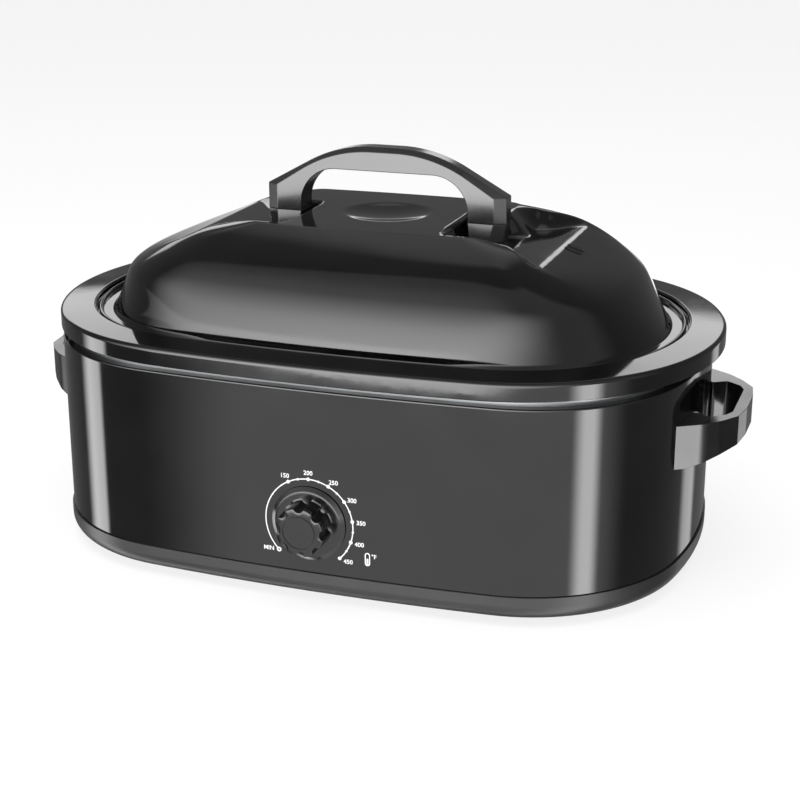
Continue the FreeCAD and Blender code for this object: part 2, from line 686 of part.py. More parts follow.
def draw_bend_path(sketch, start, stop, level, bend, upright=True):
    """An open path of two legs and a cross run at a level, joined by two tangent bends."""
    def point(along, across):
        return vector(along, across) if upright else vector(across, along)
    a_place, a_end = dim(start[0]), dim(start[1])
    b_place, b_end = dim(stop[0]), dim(stop[1])
    level, bend = dim(level), dim(bend)
    way = 1 if b_place.number > a_place.number else -1
    rise = 1 if level.number > a_end.number else -1
    r = bend.number
    near = level.number - rise * r
    left, right = a_place.number + way * r, b_place.number - way * r
    lines = (((a_place, a_end), (a_place, near)), ((left, level), (right, level)),
             ((b_place, near), (b_place, b_end)))
    slant = r * (1 - math.sqrt(0.5))
    first = sketch.GeometryCount
    sketch.addGeometry(Part.LineSegment(point(*lines[0][0]), point(*lines[0][1])))
    sketch.addGeometry(Part.Arc(point(a_place, near), point(a_place.number + way * slant,
                                level.number - rise * slant), point(left, level)))
    sketch.addGeometry(Part.LineSegment(point(*lines[1][0]), point(*lines[1][1])))
    sketch.addGeometry(Part.Arc(point(right, level), point(b_place.number - way * slant,
                                level.number - rise * slant), point(b_place, near)))
    sketch.addGeometry(Part.LineSegment(point(*lines[2][0]), point(*lines[2][1])))
    for before in range(first, first + 4):
        one, other = nearest_ends(sketch, before, before + 1)
        constrain(sketch, "Tangent", before, one, before + 1, other)
    leg, run = ("Vertical", "Horizontal") if upright else ("Horizontal", "Vertical")
    constrain(sketch, leg, first)
    constrain(sketch, run, first + 2)
    constrain(sketch, leg, first + 4)
    constrain(sketch, "Radius", first + 1, value=bend)
    constrain(sketch, "Radius", first + 3, value=bend)
    for index, end, place_at, height in ((first, 1, a_place, a_end), (first + 4, 2, b_place, b_end)):
        if upright:
            pin_point(sketch, index, end, place_at, height)
        else:
            pin_point(sketch, index, end, height, place_at)
    kind = "DistanceY" if upright else "DistanceX"
    constrain(sketch, kind, -1, 1, first + 2, 1, value=level)


def nearest_ends(sketch, first, second):
    """The pair of end points (1 or 2) at which two neighbouring edges meet."""
    pairs = [(one, other) for one in (1, 2) for other in (1, 2)]
    return min(pairs, key=lambda pair: sketch.getPoint(first, pair[0]).distanceToPoint(
        sketch.getPoint(second, pair[1])))


def make_rack():
    """Wire rack: a bent frame with cross rods, four short feet and a lifting loop at each end."""
    body = new_body("wire_rack")
    pan_bottom = rim_outline.inset(size("pan_inset") + size("pan_draft"))
    half_x = pan_bottom.half_length - size("rack_gap_end")
    half_y = pan_bottom.half_depth - size("rack_gap_side")
    level = size("pan_floor") + size("pan_sheet") + size("rack_height")
    path = new_sketch(body, "RackPath", offset=level)
    draw_rounded_rectangle(path, half_x, half_y, size("rack_corner"))
    profile = new_sketch(body, "RackWire", "XZ_Plane", 0)
    draw_circle(profile, half_x, level, size("rack_wire"))
    sweep(body, "RackFrame", path, profile)
    rods = new_sketch(body, "RackRod", "XZ_Plane", 0)
    span = size("rack_pitch") * (size("rack_rods") - 1)
    draw_circle(rods, -span / 2, level, size("rack_rod"))
    rod = pad(body, rods, half_y * 2, both=True)
    row = body.newObject("PartDesign::LinearPattern", "RackRods")
    row.Originals = [rod]
    row.Direction = (rods, ["H_Axis"])
    row.Occurrences = int(SIZES["rack_rods"])
    bind(row, Length=span)
    body.Tip = row
    doc.recompute()
    feet = new_sketch(body, "RackFeet", offset=level)
    for _, x, y in corners(size("rack_foot_x"), half_y):
        draw_circle(feet, x, y, size("rack_bail"))
    pad(body, feet, size("rack_height") - size("lift_gap"), down=True)
    for side, sign in (("Left", -1), ("Right", 1)):
        loop = new_sketch(body, f"RackLoop{side}", "YZ_Plane", half_x * sign)
        half = size("rack_loop_half")
        draw_bend_path(loop, (-half, level), (half, level), level + size("rack_loop_height"),
                       size("rack_loop_bend"))
        wire = new_sketch(body, f"RackLoopWire{side}", offset=level)
        draw_circle(wire, half_x * sign, -half, size("rack_bail"))
        sweep(body, f"RackBail{side}", loop, wire)
    keep("wire_rack", body)


def draw_rounded_rectangle(sketch, half_x, half_y, corner):
    """Four straight lines and four tangent corner arcs about the origin."""
    x, y, r = dim(half_x).number, dim(half_y).number, dim(corner).number
    first = sketch.GeometryCount
    lines = (((x, -y + r), (x, y - r)), ((x - r, y), (-x + r, y)),
             ((-x, y - r), (-x, -y + r)), ((-x + r, -y), (x - r, -y)))
    corner_centres = ((x - r, y - r), (-x + r, y - r), (-x + r, -y + r), (x - r, -y + r))
    for index, (line, centre) in enumerate(zip(lines, corner_centres)):
        sketch.addGeometry(Part.LineSegment(vector(*line[0]), vector(*line[1])))
        circle = Part.Circle(vector(*centre), FreeCAD.Vector(0, 0, 1), r)
        sketch.addGeometry(Part.ArcOfCircle(circle, index * math.pi / 2, (index + 1) * math.pi / 2))
    for index in range(8):
        constrain(sketch, "Tangent", first + index, 2, first + (index + 1) % 8, 1)
    for corner_arc in (3, 5, 7):
        constrain(sketch, "Equal", first + 1, first + corner_arc)
    constrain(sketch, "Radius", first + 1, value=corner)
    sides = ((0, "DistanceX", 1), (2, "DistanceY", 1), (4, "DistanceX", -1), (6, "DistanceY", -1))
    for side, kind, sign in sides:
        reach = half_x if kind == "DistanceX" else half_y
        if sign > 0:
            constrain(sketch, kind, -1, 1, first + side, 1, value=reach)
        else:
            constrain(sketch, kind, first + side, 1, -1, 1, value=reach)
    constrain(sketch, "Vertical", first)
    constrain(sketch, "Vertical", first + 4)
    constrain(sketch, "Horizontal", first + 2)
    constrain(sketch, "Horizontal", first + 6)


# ---------------------------------------------------------------- lid
DOME_STATIONS = (
    # height above the foot as a share of the crest's height; the half length and half depth there
    # as shares of the way in from the foot to the crest
    (0.0, 0.0, 0.0), (0.19, 0.07, 0.02), (0.37, 0.13, 0.065), (0.49, 0.18, 0.12), (0.6, 0.28, 0.19),
    (0.73, 0.435, 0.32), (0.86, 0.62, 0.565), (0.94, 0.79, 0.79), (1.0, 1.0, 1.0),
)


def dome_outline(rise, run_x, run_y):
    """Outline of the dome at one station between its foot and its crest."""
    def between(foot, top, share):
        return foot + (top - foot) * share
    return Outline(between(dome_half_length, size("crest_half_length"), run_x),
                   between(dome_half_depth, size("crest_half_depth"), run_y),
                   size("dome_side_bow"),
                   between(dome_foot_corner + size("foot_end_ease"), size("crest_end_bow"), rise),
                   between(dome_foot_corner, size("crest_corner"), rise))


def channel_profile(sketch, offset):
    """Section of the top channel: a flat floor and an arc up to each ridge, moved out by offset."""
    floor_half, drop = size("channel_floor"), size("channel_depth")
    width = size("channel_half_width") - floor_half
    radius = (width * width + drop * drop) / (drop * 2)
    centre_z = channel_bottom + radius
    reach = radius + offset
    side_y = floor_half + width * reach / radius
    side_z = centre_z - (radius - drop) * reach / radius
    low_z = channel_bottom - offset
    top_z = crest + size("channel_depth")
    first = sketch.GeometryCount
    sketch.addGeometry(Part.LineSegment(vector(-floor_half, low_z), vector(floor_half, low_z)))
    middle = math.atan2((side_y - floor_half).number, (centre_z - side_z).number) / 2
    sag = vector(floor_half.number + reach.number * math.sin(middle),
                 centre_z.number - reach.number * math.cos(middle))
    sketch.addGeometry(Part.Arc(vector(floor_half, low_z), sag, vector(side_y, side_z)))
    sketch.addGeometry(Part.LineSegment(vector(side_y, side_z), vector(side_y, top_z)))
    sketch.addGeometry(Part.LineSegment(vector(side_y, top_z), vector(-side_y, top_z)))
    sketch.addGeometry(Part.LineSegment(vector(-side_y, top_z), vector(-side_y, side_z)))
    mirror = FreeCAD.Vector(-sag.x, sag.y, 0)
    sketch.addGeometry(Part.Arc(vector(-side_y, side_z), mirror, vector(-floor_half, low_z)))
    joints = ((0, 2, 1, 1), (1, 2, 2, 1), (2, 2, 3, 1), (3, 2, 4, 1), (4, 2, 5, 1), (5, 2, 0, 1))
    for a, a_end, b, b_end in joints:
        constrain(sketch, "Coincident", first + a, a_end, first + b, b_end)
    for geometry, end, y, z in ((0, 1, -floor_half, low_z), (0, 2, floor_half, low_z),
                                (2, 1, side_y, side_z), (2, 2, side_y, top_z),
                                (4, 1, -side_y, top_z), (4, 2, -side_y, side_z)):
        pin_point(sketch, first + geometry, end, y, z)
    constrain(sketch, "Radius", first + 1, value=reach)
    constrain(sketch, "Radius", first + 5, value=reach)


def dome_body(label, thickness):
    """The dome as a solid, moved inwards by a thickness: the outer form, or what is cut from it."""
    body = new_body(label)
    sketches = []
    for index, (rise, run_x, run_y) in enumerate(DOME_STATIONS):
        station = dome_outline(rise, run_x, run_y).inset(thickness)
        height = lid_foot + (crest - lid_foot) * rise - thickness * rise
        if index == 0:
            height = lid_seat - thickness
        sketches.append(outline_sketch(body, f"{label}Station{index}", [station], height))
    loft(body, f"{label}Loft", sketches)
    channel = new_sketch(body, f"{label}Channel", "YZ_Plane", 0)
    channel_profile(channel, thickness)
    pocket(body, channel, dome_half_length * 2, both=True)
    return body


def boss(name, thickness):
    """The raised round boss in the middle of the channel, moved inwards by a thickness."""
    cone = doc.addObject("Part::Cone", name)
    sink = size("channel_depth") / 2
    height = size("channel_depth") - size("boss_drop") + sink
    slope = (size("boss_foot") - size("boss_top")) / (size("channel_depth") - size("boss_drop"))
    bind(cone, Radius1=size("boss_foot") + slope * sink - thickness,
         Radius2=size("boss_top") - thickness, Height=height)
    place(cone, 0, 0, channel_bottom - sink - thickness)
    return cone


def dish(name, thickness):
    """The ball that presses a shallow dish into the boss."""
    ball = doc.addObject("Part::Sphere", name)
    radius = size("dish_radius")
    bind(ball, Radius=radius + thickness)
    place(ball, 0, 0, crest - size("boss_drop") - size("dish_depth") + radius)
    return ball


def make_lid_shell():
    """Drawn lid: flange with a rolled bead, dome, top channel and basting boss.

    It is one sheet, handed over as the wall with its flange and as the crown above the channel's floor.
    """
    metal = size("lid_sheet")
    outer = dome_body("DomeOuter", dim(0))
    flange_outline = rim_outline.inset(size("lid_inset"))
    pad(outer, outline_sketch(outer, "LidFlange", [flange_outline], lid_seat), metal)
    bead_inside = flange_outline.inset(size("lid_bead_width"))
    bead = outline_sketch(outer, "LidBead", [flange_outline, bead_inside], lid_seat)
    pad(outer, bead, size("lid_bead_height"))
    fillet(outer, size("lid_bead_width") * 0.45, at_height(lid_seat + size("lid_bead_height")))
    pressed = cut("LidBossOuter", boss("BossOuter", dim(0)), dish("DishOuter", dim(0)))
    skin = joined("LidOuterForm", [outer, pressed])
    inner = dome_body("DomeInner", metal)
    hollow = cut("LidBossInner", boss("BossInner", metal), dish("DishInner", metal))
    core = joined("LidInnerForm", [inner, hollow])
    tools = []
    for side, sign in (("left", -1), ("right", 1)):
        tools.append(cylinder(f"LidScrewHole_{side}", screw_hole, size("channel_depth"),
                              grip_middle * sign, 0, channel_bottom - size("channel_depth") / 2))
        tools.append(box(f"SteamSlot_{side}", size("steam_length"), size("steam_width"),
                         size("channel_depth") * 3, size("steam_place_x"), size("steam_pitch") / 2 * sign,
                         channel_bottom - size("channel_depth") * 2))
    sheet_form = cut("LidSheet", skin, core, *tools)
    upper = box("LidUpper", dome_half_length * 2, dome_half_depth * 2, size("dome_height"),
                0, 0, channel_bottom - size("crown_drop"))
    keep("lid_shell", cut("lid_shell", sheet_form, upper))
    crown = doc.addObject("Part::Common", "lid_crown")
    crown.Base = sheet_form
    crown.Tool = upper
    keep("lid_crown", crown)


# ---------------------------------------------------------------- lid handle
grip_middle = (size("grip_half_length") + size("grip_inner_half")) / 2
grip_joint = channel_bottom + size("grip_joint")


def arch_sketch(body, name, place_y, out, up):
    """Outline of the arch in an upright plane, its outer edge moved out and up by a bevel."""
    half, inner = size("grip_half_length") + out, size("grip_inner_half")
    rise, top = channel_bottom + size("grip_rise"), channel_bottom + size("grip_top") + up
    under, flat = channel_bottom + size("grip_under"), size("grip_flat")
    shoulder, corner = size("grip_shoulder"), size("grip_inner_corner")
    sketch = new_sketch(body, name, "XZ_Plane", -dim(place_y))
    centre_z = top.number - shoulder.number
    run, climb = half.number - flat.number, rise.number - centre_z
    away = math.hypot(run, climb)
    turn = math.atan2(climb, run) + math.acos(shoulder.number / away)
    meet_x = flat.number + shoulder.number * math.cos(turn)
    meet_z = centre_z + shoulder.number * math.sin(turn)
    high = under - corner
    middle = (turn + math.pi / 2) / 2
    sag_x = flat.number + shoulder.number * math.cos(middle)
    sag_z = centre_z + shoulder.number * math.sin(middle)
    slant = corner.number * (1 - math.sqrt(0.5))
    flat_in = inner - corner
    right = [("line", (half, grip_joint), (half, rise)), ("line", (half, rise), (meet_x, meet_z)),
             ("arc", (meet_x, meet_z), (sag_x, sag_z), (flat, top))]
    left = [("arc", (-flat, top), (-sag_x, sag_z), (-meet_x, meet_z)),
            ("line", (-meet_x, meet_z), (-half, rise)), ("line", (-half, rise), (-half, grip_joint))]
    inside = [("line", (-half, grip_joint), (-inner, grip_joint)),
              ("line", (-inner, grip_joint), (-inner, high)),
              ("arc", (-inner, high), (-inner + slant, under - slant), (-flat_in, under)),
              ("line", (-flat_in, under), (flat_in, under)),
              ("arc", (flat_in, under), (inner - slant, under - slant), (inner, high)),
              ("line", (inner, high), (inner, grip_joint)), ("line", (inner, grip_joint), (half, grip_joint))]
    for kind, *points in right + [("line", (flat, top), (-flat, top))] + left + inside:
        points = [vector(*point) for point in points]
        sketch.addGeometry(Part.LineSegment(*points) if kind == "line" else Part.Arc(*points))
    smooth = ((1, 2), (2, 3), (3, 4), (4, 5), (8, 9), (9, 10), (10, 11), (11, 12))
    sharp = ((0, 1), (5, 6), (6, 7), (7, 8), (12, 13), (13, 0))
    for before, after in smooth:
        one, other = nearest_ends(sketch, before, after)
        constrain(sketch, "Tangent", before, one, after, other)
    for before, after in sharp:
        constrain(sketch, "Coincident", before, 2, after, 1)
    for arc, radius in ((2, shoulder), (4, shoulder), (9, corner), (11, corner)):
        constrain(sketch, "Radius", arc, value=radius)
    pins = ((0, 1, half, grip_joint), (0, 2, half, rise), (6, 1, -half, rise), (6, 2, -half, grip_joint),
            (8, 1, -inner, grip_joint), (13, 1, inner, grip_joint), (3, 1, flat, top), (3, 2, -flat, top))
    for geometry, end, x, z in pins:
        pin_point(sketch, geometry, end, x, z)
    constrain(sketch, "Horizontal", 10)
    constrain(sketch, "DistanceY", -1, 1, 10, 1, value=under)
    constrain(sketch, "Vertical", 8)
    constrain(sketch, "Vertical", 12)
    return sketch


def make_lid_handle():
    """The arch that lifts the lid: bevelled towards its middle, bored from below for two screws."""
    body = new_body("lid_handle")
    face, middle = size("grip_half_thick"), size("grip_middle_half")
    out, up = size("grip_side_bevel"), size("grip_top_bevel")
    sections = [arch_sketch(body, "ArchFront", -face, dim(0), dim(0)),
                arch_sketch(body, "ArchFrontMiddle", -middle, out, up),
                arch_sketch(body, "ArchRearMiddle", middle, out, up),
                arch_sketch(body, "ArchRear", face, dim(0), dim(0))]
    loft(body, "Arch", sections, ruled=True)
    bores = new_sketch(body, "ArchBores", offset=grip_joint)
    for sign in (-1, 1):
        draw_circle(bores, grip_middle * sign, 0, screw_hole)
    pocket(body, bores, size("grip_screw_depth"), up=True)
    keep("lid_handle", body)


def foot_sketch(body, name, sign, taper, height):
    """Six-sided section of a handle foot, drawn in by a taper."""
    face, middle = size("grip_half_thick") - taper, size("grip_middle_half")
    inner, outer = size("grip_inner_half") + taper, size("grip_half_length") - taper
    point = outer + size("grip_side_bevel")
    sketch = new_sketch(body, name, offset=height)
    draw_polygon(sketch, [(inner * sign, -face), (outer * sign, -face), (point * sign, -middle),
                          (point * sign, middle), (outer * sign, face), (inner * sign, face)])
    return sketch


def make_handle_feet():
    """The two feet that the arch stands on, each held by a screw from under the lid."""
    for side, sign in (("left", -1), ("right", 1)):
        body = new_body(f"lid_handle_foot_{side}")
        sections = [foot_sketch(body, f"FootTop_{side}", sign, dim(0), grip_joint),
                    foot_sketch(body, f"FootBottom_{side}", sign, size("grip_foot_taper"), channel_bottom)]
        loft(body, f"FootBlock_{side}", sections, ruled=True)
        bore = new_sketch(body, f"FootBore_{side}", offset=grip_joint)
        draw_circle(bore, grip_middle * sign, 0, screw_hole)
        pocket(body, bore, size("grip_joint"))
        keep(f"lid_handle_foot_{side}", body)


def make_lid_screws():
    """Two screws with washers, from inside the lid up into the handle."""
    screws, washers = [], []
    under = channel_bottom - size("lid_sheet") - size("washer_thick")
    length = grip_joint + size("grip_screw_depth") * 0.8 - under
    for side, sign in (("left", -1), ("right", 1)):
        x = grip_middle * sign
        head = cylinder(f"LidScrewHead_{side}", size("screw_head_radius"), size("screw_head"),
                        x, 0, under - size("screw_head"))
        shank = cylinder(f"LidScrewShank_{side}", size("screw_radius"), length + size("screw_head"),
                         x, 0, under - size("screw_head"))
        screws.append(joined(f"LidScrew_{side}", [head, shank]))
        blank = cylinder(f"WasherBlank_{side}", size("washer_radius"), size("washer_thick"), x, 0, under)
        hole = cylinder(f"WasherHole_{side}", screw_hole, size("washer_thick"), x, 0, under)
        washers.append(cut(f"Washer_{side}", blank, hole))
    keep("lid_screws", grouped("lid_screws", screws))
    keep("lid_washers", grouped("lid_washers", washers))


# ---------------------------------------------------------------- end handles
def wall_reach(outline, across):
    """How far an outline's end arc reaches along X at a distance from the middle."""
    bow = outline.end_bow
    return outline.half_length - bow + (bow * bow - dim(across) * dim(across)).root()


def make_end_handle(side, sign):
    """A thick flat-topped loop: a grip bar on two flared roots that meet the shell's wall."""
    body = new_body(f"side_handle_{side}")
    top, root = size("loop_top"), size("loop_root")
    wall_x = size("shell_half_length")
    reach = wall_x + size("loop_reach")
    root_x, heel_x = wall_x - size("loop_root_sink"), wall_x - size("loop_heel_sink")
    waist_x, inside_x = wall_x + size("loop_waist_out"), root_x - size("loop_reach_y")
    plan = [(reach, size("loop_reach_y")), (reach - size("loop_corner_back"), size("loop_corner_y")),
            (reach - size("loop_bend_back"), size("loop_bend_y")), (root_x, size("loop_root_y")),
            (inside_x, size("loop_root_y")), (inside_x, size("loop_heel_y")),
            (heel_x, size("loop_heel_y")), (waist_x, size("loop_waist_y")),
            (reach - size("loop_turn_back"), size("loop_turn_y")),
            (reach - size("loop_bar"), size("loop_inner_y"))]
    half_rear = [(x * sign, y) for x, y in plan]
    half_front = [(x * sign, -y) for x, y in reversed(plan)]
    sketch = new_sketch(body, f"LoopPlan_{side}", offset=top)
    draw_polygon(sketch, half_rear + half_front)
    pad(body, sketch, root, down=True)
    wall = outline_sketch(body, f"LoopWall_{side}", [shell_outline], top)
    pocket(body, wall, root)
    under = new_sketch(body, f"LoopUnder_{side}", "XZ_Plane", 0)
    low = top - root
    past = reach + size("loop_depth_end")
    slope_mid, slope_end = top - size("loop_depth_mid"), top - size("loop_depth_end")
    draw_polygon(under, [(heel_x * sign, low), (waist_x * sign, slope_mid),
                         (reach * sign, slope_end), (past * sign, slope_end),
                         (past * sign, low - root), (heel_x * sign, low - root)])
    pocket(body, under, size("loop_root_y") * 2, both=True)
    level = top.number

    def rim_edge(edge):
        flat = edge.BoundBox.ZMin > level - 1e-4
        return flat and edge.Curve.TypeId == "Part::GeomLine"
    chamfer(body, size("loop_edge"), rim_edge)
    bores = new_sketch(body, f"LoopBores_{side}", "YZ_Plane", 0)
    for end in (-1, 1):
        draw_circle(bores, size("loop_screw_y") * end, top - size("loop_screw_drop"), screw_hole)
    depth = wall_reach(shell_outline, size("loop_screw_y")) + size("loop_screw_depth")
    pocket(body, bores, depth, up=sign > 0)
    keep(f"side_handle_{side}", body)


def make_end_handle_screws():
    """Four screws from inside the shell into the roots of the end handles."""
    screws = []
    near_wall = wall_reach(shell_inside, size("loop_screw_y") + size("screw_head_radius"))
    tip = wall_reach(shell_outline, size("loop_screw_y")) + size("loop_screw_depth") * 0.8
    height = size("loop_top") - size("loop_screw_drop")
    for name, x, y in corners(1, size("loop_screw_y")):
        sign = 1 if x.number > 0 else -1
        axis = "X" if sign > 0 else "-X"
        start = (near_wall - size("screw_head")) * sign
        head = cylinder(f"LoopScrewHead_{name}", size("screw_head_radius"), size("screw_head"),
                        start, y, height, axis)
        shank = cylinder(f"LoopScrewShank_{name}", size("screw_radius"),
                         tip - near_wall + size("screw_head"), start, y, height, axis)
        screws.append(joined(f"LoopScrew_{name}", [head, shank]))
    keep("side_handle_screws", grouped("side_handle_screws", screws))


# ---------------------------------------------------------------- control
def make_control_knob():
    """Round knob: a flared skirt, a fluted grip with a capped front, hollow at the back."""
    body = new_body("control_knob")
    back = front_wall + size("knob_gap")
    skirt_face = back + size("skirt_depth")
    front = skirt_face + size("grip_depth")

    def ring(name, offset, *radii):
        sketch = new_sketch(body, name, "XZ_Plane", offset, size("dial_height"))
        for radius in radii:
            draw_circle(sketch, 0, 0, radius)
        return sketch
    loft(body, "Skirt", [ring("SkirtBack", back, size("skirt_radius")),
                         ring("SkirtFront", skirt_face, size("skirt_front_radius"))], ruled=True)
    pad(body, ring("Grip", skirt_face, size("grip_radius")), size("grip_depth"))
    flute = new_sketch(body, "Flute", "XZ_Plane", front, size("dial_height"))
    draw_circle(flute, 0, size("grip_radius") + size("flute_radius") - size("flute_bite"),
                size("flute_radius"))
    notch = pocket(body, flute, size("grip_depth"))
    polar = body.newObject("PartDesign::PolarPattern", "Flutes")
    polar.Originals = [notch]
    polar.Axis = (flute, ["N_Axis"])
    polar.Angle = 360
    polar.Occurrences = int(SIZES["flute_count"])
    body.Tip = polar
    doc.recompute()
    groove = ring("CapGroove", front, size("cap_radius"), size("cap_radius") - size("cap_groove"))
    pocket(body, groove, size("cap_groove"))
    pocket(body, ring("Hollow", back, size("knob_hollow")), size("knob_hollow_depth"), up=True)
    hub_back = back + size("knob_hollow_depth")
    pad(body, ring("Hub", hub_back, size("hub_radius")), size("hub_length"), down=True)
    bore = new_sketch(body, "Bore", "XZ_Plane", hub_back - size("hub_length"), size("dial_height"))
    draw_flatted_circle(bore, shaft_hole, size("shaft_radius") - size("shaft_flat") + size("shaft_clearance"))
    pocket(body, bore, size("shaft_grip") + size("hub_length"), up=True)
    keep("control_knob", body)


def draw_flatted_circle(sketch, radius, flat):
    """A circle with one flat side, the flat at a height above the centre."""
    r, high = radius.number, flat.number
    half = math.sqrt(r * r - high * high)
    angle = math.atan2(high, half)
    circle = Part.Circle(FreeCAD.Vector(), FreeCAD.Vector(0, 0, 1), r)
    sketch.addGeometry(Part.ArcOfCircle(circle, math.pi - angle, 2 * math.pi + angle))
    sketch.addGeometry(Part.LineSegment(vector(half, high), vector(-half, high)))
    constrain(sketch, "Coincident", 0, 2, 1, 1)
    constrain(sketch, "Coincident", 1, 2, 0, 1)
    constrain(sketch, "Coincident", 0, 3, -1, 1)
    constrain(sketch, "Radius", 0, value=radius)
    constrain(sketch, "Horizontal", 1)
    constrain(sketch, "DistanceY", -1, 1, 1, 1, value=flat)


def make_thermostat_shaft():
    """The D shaft that the knob turns."""
    body = new_body("thermostat_shaft")
    start = front_wall - size("shell_sheet") - size("stat_plate")
    tip = front_wall + size("knob_gap") + size("knob_hollow_depth") + size("shaft_grip") * 0.9
    section = new_sketch(body, "ShaftSection", "XZ_Plane", start, size("dial_height"))
    draw_flatted_circle(section, size("shaft_radius"), size("shaft_radius") - size("shaft_flat"))
    pad(body, section, tip - start)
    keep("thermostat_shaft", body)


def make_thermostat():
    """The switch body, its plate behind the wall, the nut on its bushing, and its sensing bulb."""
    dial = size("dial_height")
    plate_front = wall_depth(shell_inside, size("stat_width") / 2 + size("stat_ear"))
    plate_back = plate_front - size("stat_plate")
    plate = box("StatPlate", size("stat_width") + size("stat_ear") * 2, size("stat_plate"),
                size("stat_height"), 0, -(plate_front - size("stat_plate") / 2),
                dial - size("stat_height") / 2)
    hole = cylinder("StatPlateHole", size("bushing_radius") + size("screw_clearance"),
                    size("stat_plate") * 3, 0, -(plate_back - size("stat_plate")), dial, "-Y")
    keep("thermostat_bracket", cut("thermostat_bracket", plate, hole))
    block = box("StatBlock", size("stat_width"), size("stat_depth"), size("stat_height"),
                0, -(plate_back - size("stat_depth") / 2), dial - size("stat_height") / 2)
    bushing = cylinder("StatBushing", size("bushing_radius"),
                       front_wall + size("bushing_length") - plate_back, 0, -plate_back, dial, "-Y")
    bore = cylinder("StatBore", shaft_hole, front_wall + size("bushing_length") * 2 - plate_back,
                    0, -plate_back, dial, "-Y")
    keep("thermostat_body", cut("thermostat_body", joined("StatForm", [block, bushing]), bore))
    nut = doc.addObject("Part::Prism", "NutBlank")
    nut.Polygon = 6
    bind(nut, Circumradius=size("nut_radius"), Height=size("nut_thick"))
    nut.Placement = FreeCAD.Placement(FreeCAD.Vector(), FreeCAD.Rotation(FreeCAD.Vector(1, 0, 0), 90))
    place(nut, 0, -front_wall, dial)
    thread = cylinder("NutThread", size("bushing_radius") + size("screw_clearance"),
                      size("nut_thick"), 0, -front_wall, dial, "-Y")
    keep("thermostat_nut", cut("thermostat_nut", nut, thread))
    bulb_y = -(well_outline.half_depth + size("bulb_radius"))
    bulb = cylinder("thermostat_bulb", size("bulb_radius"), size("bulb_length"),
                    -size("bulb_length") / 2, bulb_y, size("bulb_height"), "X")
    keep("thermostat_bulb", bulb)
    body = new_body("capillary_tube")
    middle_y = -(plate_back - size("stat_depth") / 2)
    path = new_sketch(body, "CapillaryPath", offset=size("bulb_height"))
    draw_bend_path(path, (bulb_y, size("bulb_length") / 2), (middle_y, size("stat_width") / 2),
                   size("capillary_reach"), size("capillary_bend"), upright=False)
    section = new_sketch(body, "CapillarySection", "YZ_Plane", size("bulb_length") / 2)
    draw_circle(section, bulb_y, size("bulb_height"), size("capillary_radius"))
    sweep(body, "Capillary", path, section)
    keep("capillary_tube", body)


def wall_depth(outline, across):
    """How far an outline's long arc reaches along Y at a distance from the middle."""
    bow = outline.side_bow
    return outline.half_depth - bow + (bow * bow - dim(across) * dim(across)).root()


# ---------------------------------------------------------------- supply
def make_cord_gland():
    """Cord entry in the rear wall: flange, neck through the wall and a moulded strain relief outside."""
    height = size("gland_height")
    inside = size("shell_sheet") + size("gland_inside")
    outside = size("knob_gap") + size("skirt_depth") + size("grip_depth")
    flange = cylinder("GlandFlange", size("gland_flange"), size("gland_flange_thick"),
                      0, front_wall, height, "Y")
    neck = cylinder("GlandNeck", size("gland_neck") - size("screw_clearance"),
                    inside + size("gland_flange_thick"), 0, front_wall - inside, height, "Y")
    relief = cylinder("GlandRelief", size("gland_relief"), outside, 0, front_wall, height, "Y")
    form = joined("GlandForm", [flange, neck, relief])
    bore = cylinder("GlandBore", size("gland_bore"), inside + outside, 0, front_wall - inside, height, "Y")
    keep("cord_gland", cut("cord_gland", form, bore))


def make_terminal_block():
    """A moulded block on the rear wall beside the cord entry, with three screw wells."""
    reach = size("block_place_x") + size("block_width") / 2
    rear = wall_depth(shell_inside, reach)
    block = box("BlockForm", size("block_width"), size("block_depth"), size("block_height"),
                size("block_place_x"), rear - size("block_depth") / 2,
                size("gland_height") - size("block_height") / 2)
    wells = []
    for index in (-1, 0, 1):
        wells.append(cylinder(f"BlockWell{index + 2}", size("screw_radius"), size("block_height") / 2,
                              size("block_place_x") + size("block_width") / 3 * index,
                              rear - size("block_depth") / 2, size("gland_height")))
    keep("terminal_block", cut("terminal_block", block, *wells))


def make_leads():
    """Three stiff leads that run under the well from the control and the block to the heater."""
    stat_y = -(wall_depth(shell_inside, size("stat_width") / 2 + size("stat_ear"))
               - size("stat_plate") - size("stat_depth") / 2)
    stat_z = size("dial_height") - size("stat_height") / 2
    block_y = (wall_depth(shell_inside, size("block_place_x") + size("block_width") / 2)
               - size("block_depth") / 2)
    block_z = size("gland_height") - size("block_height") / 2
    tab_y = well_outline.half_depth + size("heater_thick") * 2 + size("lead_radius")
    tab_z = size("heater_bottom") + size("tab_height")
    runs = {"supply_lead": (size("lead_place_x"), (stat_y, stat_z), (block_y, block_z)),
            "switched_lead": (-tab_place, (stat_y, stat_z), (tab_y, tab_z)),
            "return_lead": (tab_place, (tab_y, tab_z), (block_y, block_z))}
    for label, (x, start, stop) in runs.items():
        body = new_body(label)
        path = new_sketch(body, f"{label}_path", "YZ_Plane", x)
        draw_bend_path(path, start, stop, size("lead_height"), size("lead_bend"))
        section = new_sketch(body, f"{label}_section", offset=start[1])
        draw_circle(section, x, start[0], size("lead_radius"))
        sweep(body, f"{label}_wire", path, section)
        keep(label, body)


# ---------------------------------------------------------------- build, check and write
make_base_tray()
make_feet()
make_base_screws()
make_outer_shell()
make_well_liner()
make_well_posts()
make_heat_shield()
make_heater_band()
make_heater_terminals()
make_insulation()
make_insert_pan()
make_rack()
make_lid_shell()
make_lid_handle()
make_handle_feet()
make_lid_screws()
make_end_handle("left", -1)
make_end_handle("right", 1)
make_end_handle_screws()
make_control_knob()
make_thermostat_shaft()
make_thermostat()
make_cord_gland()
make_terminal_block()
make_leads()
doc.recompute()

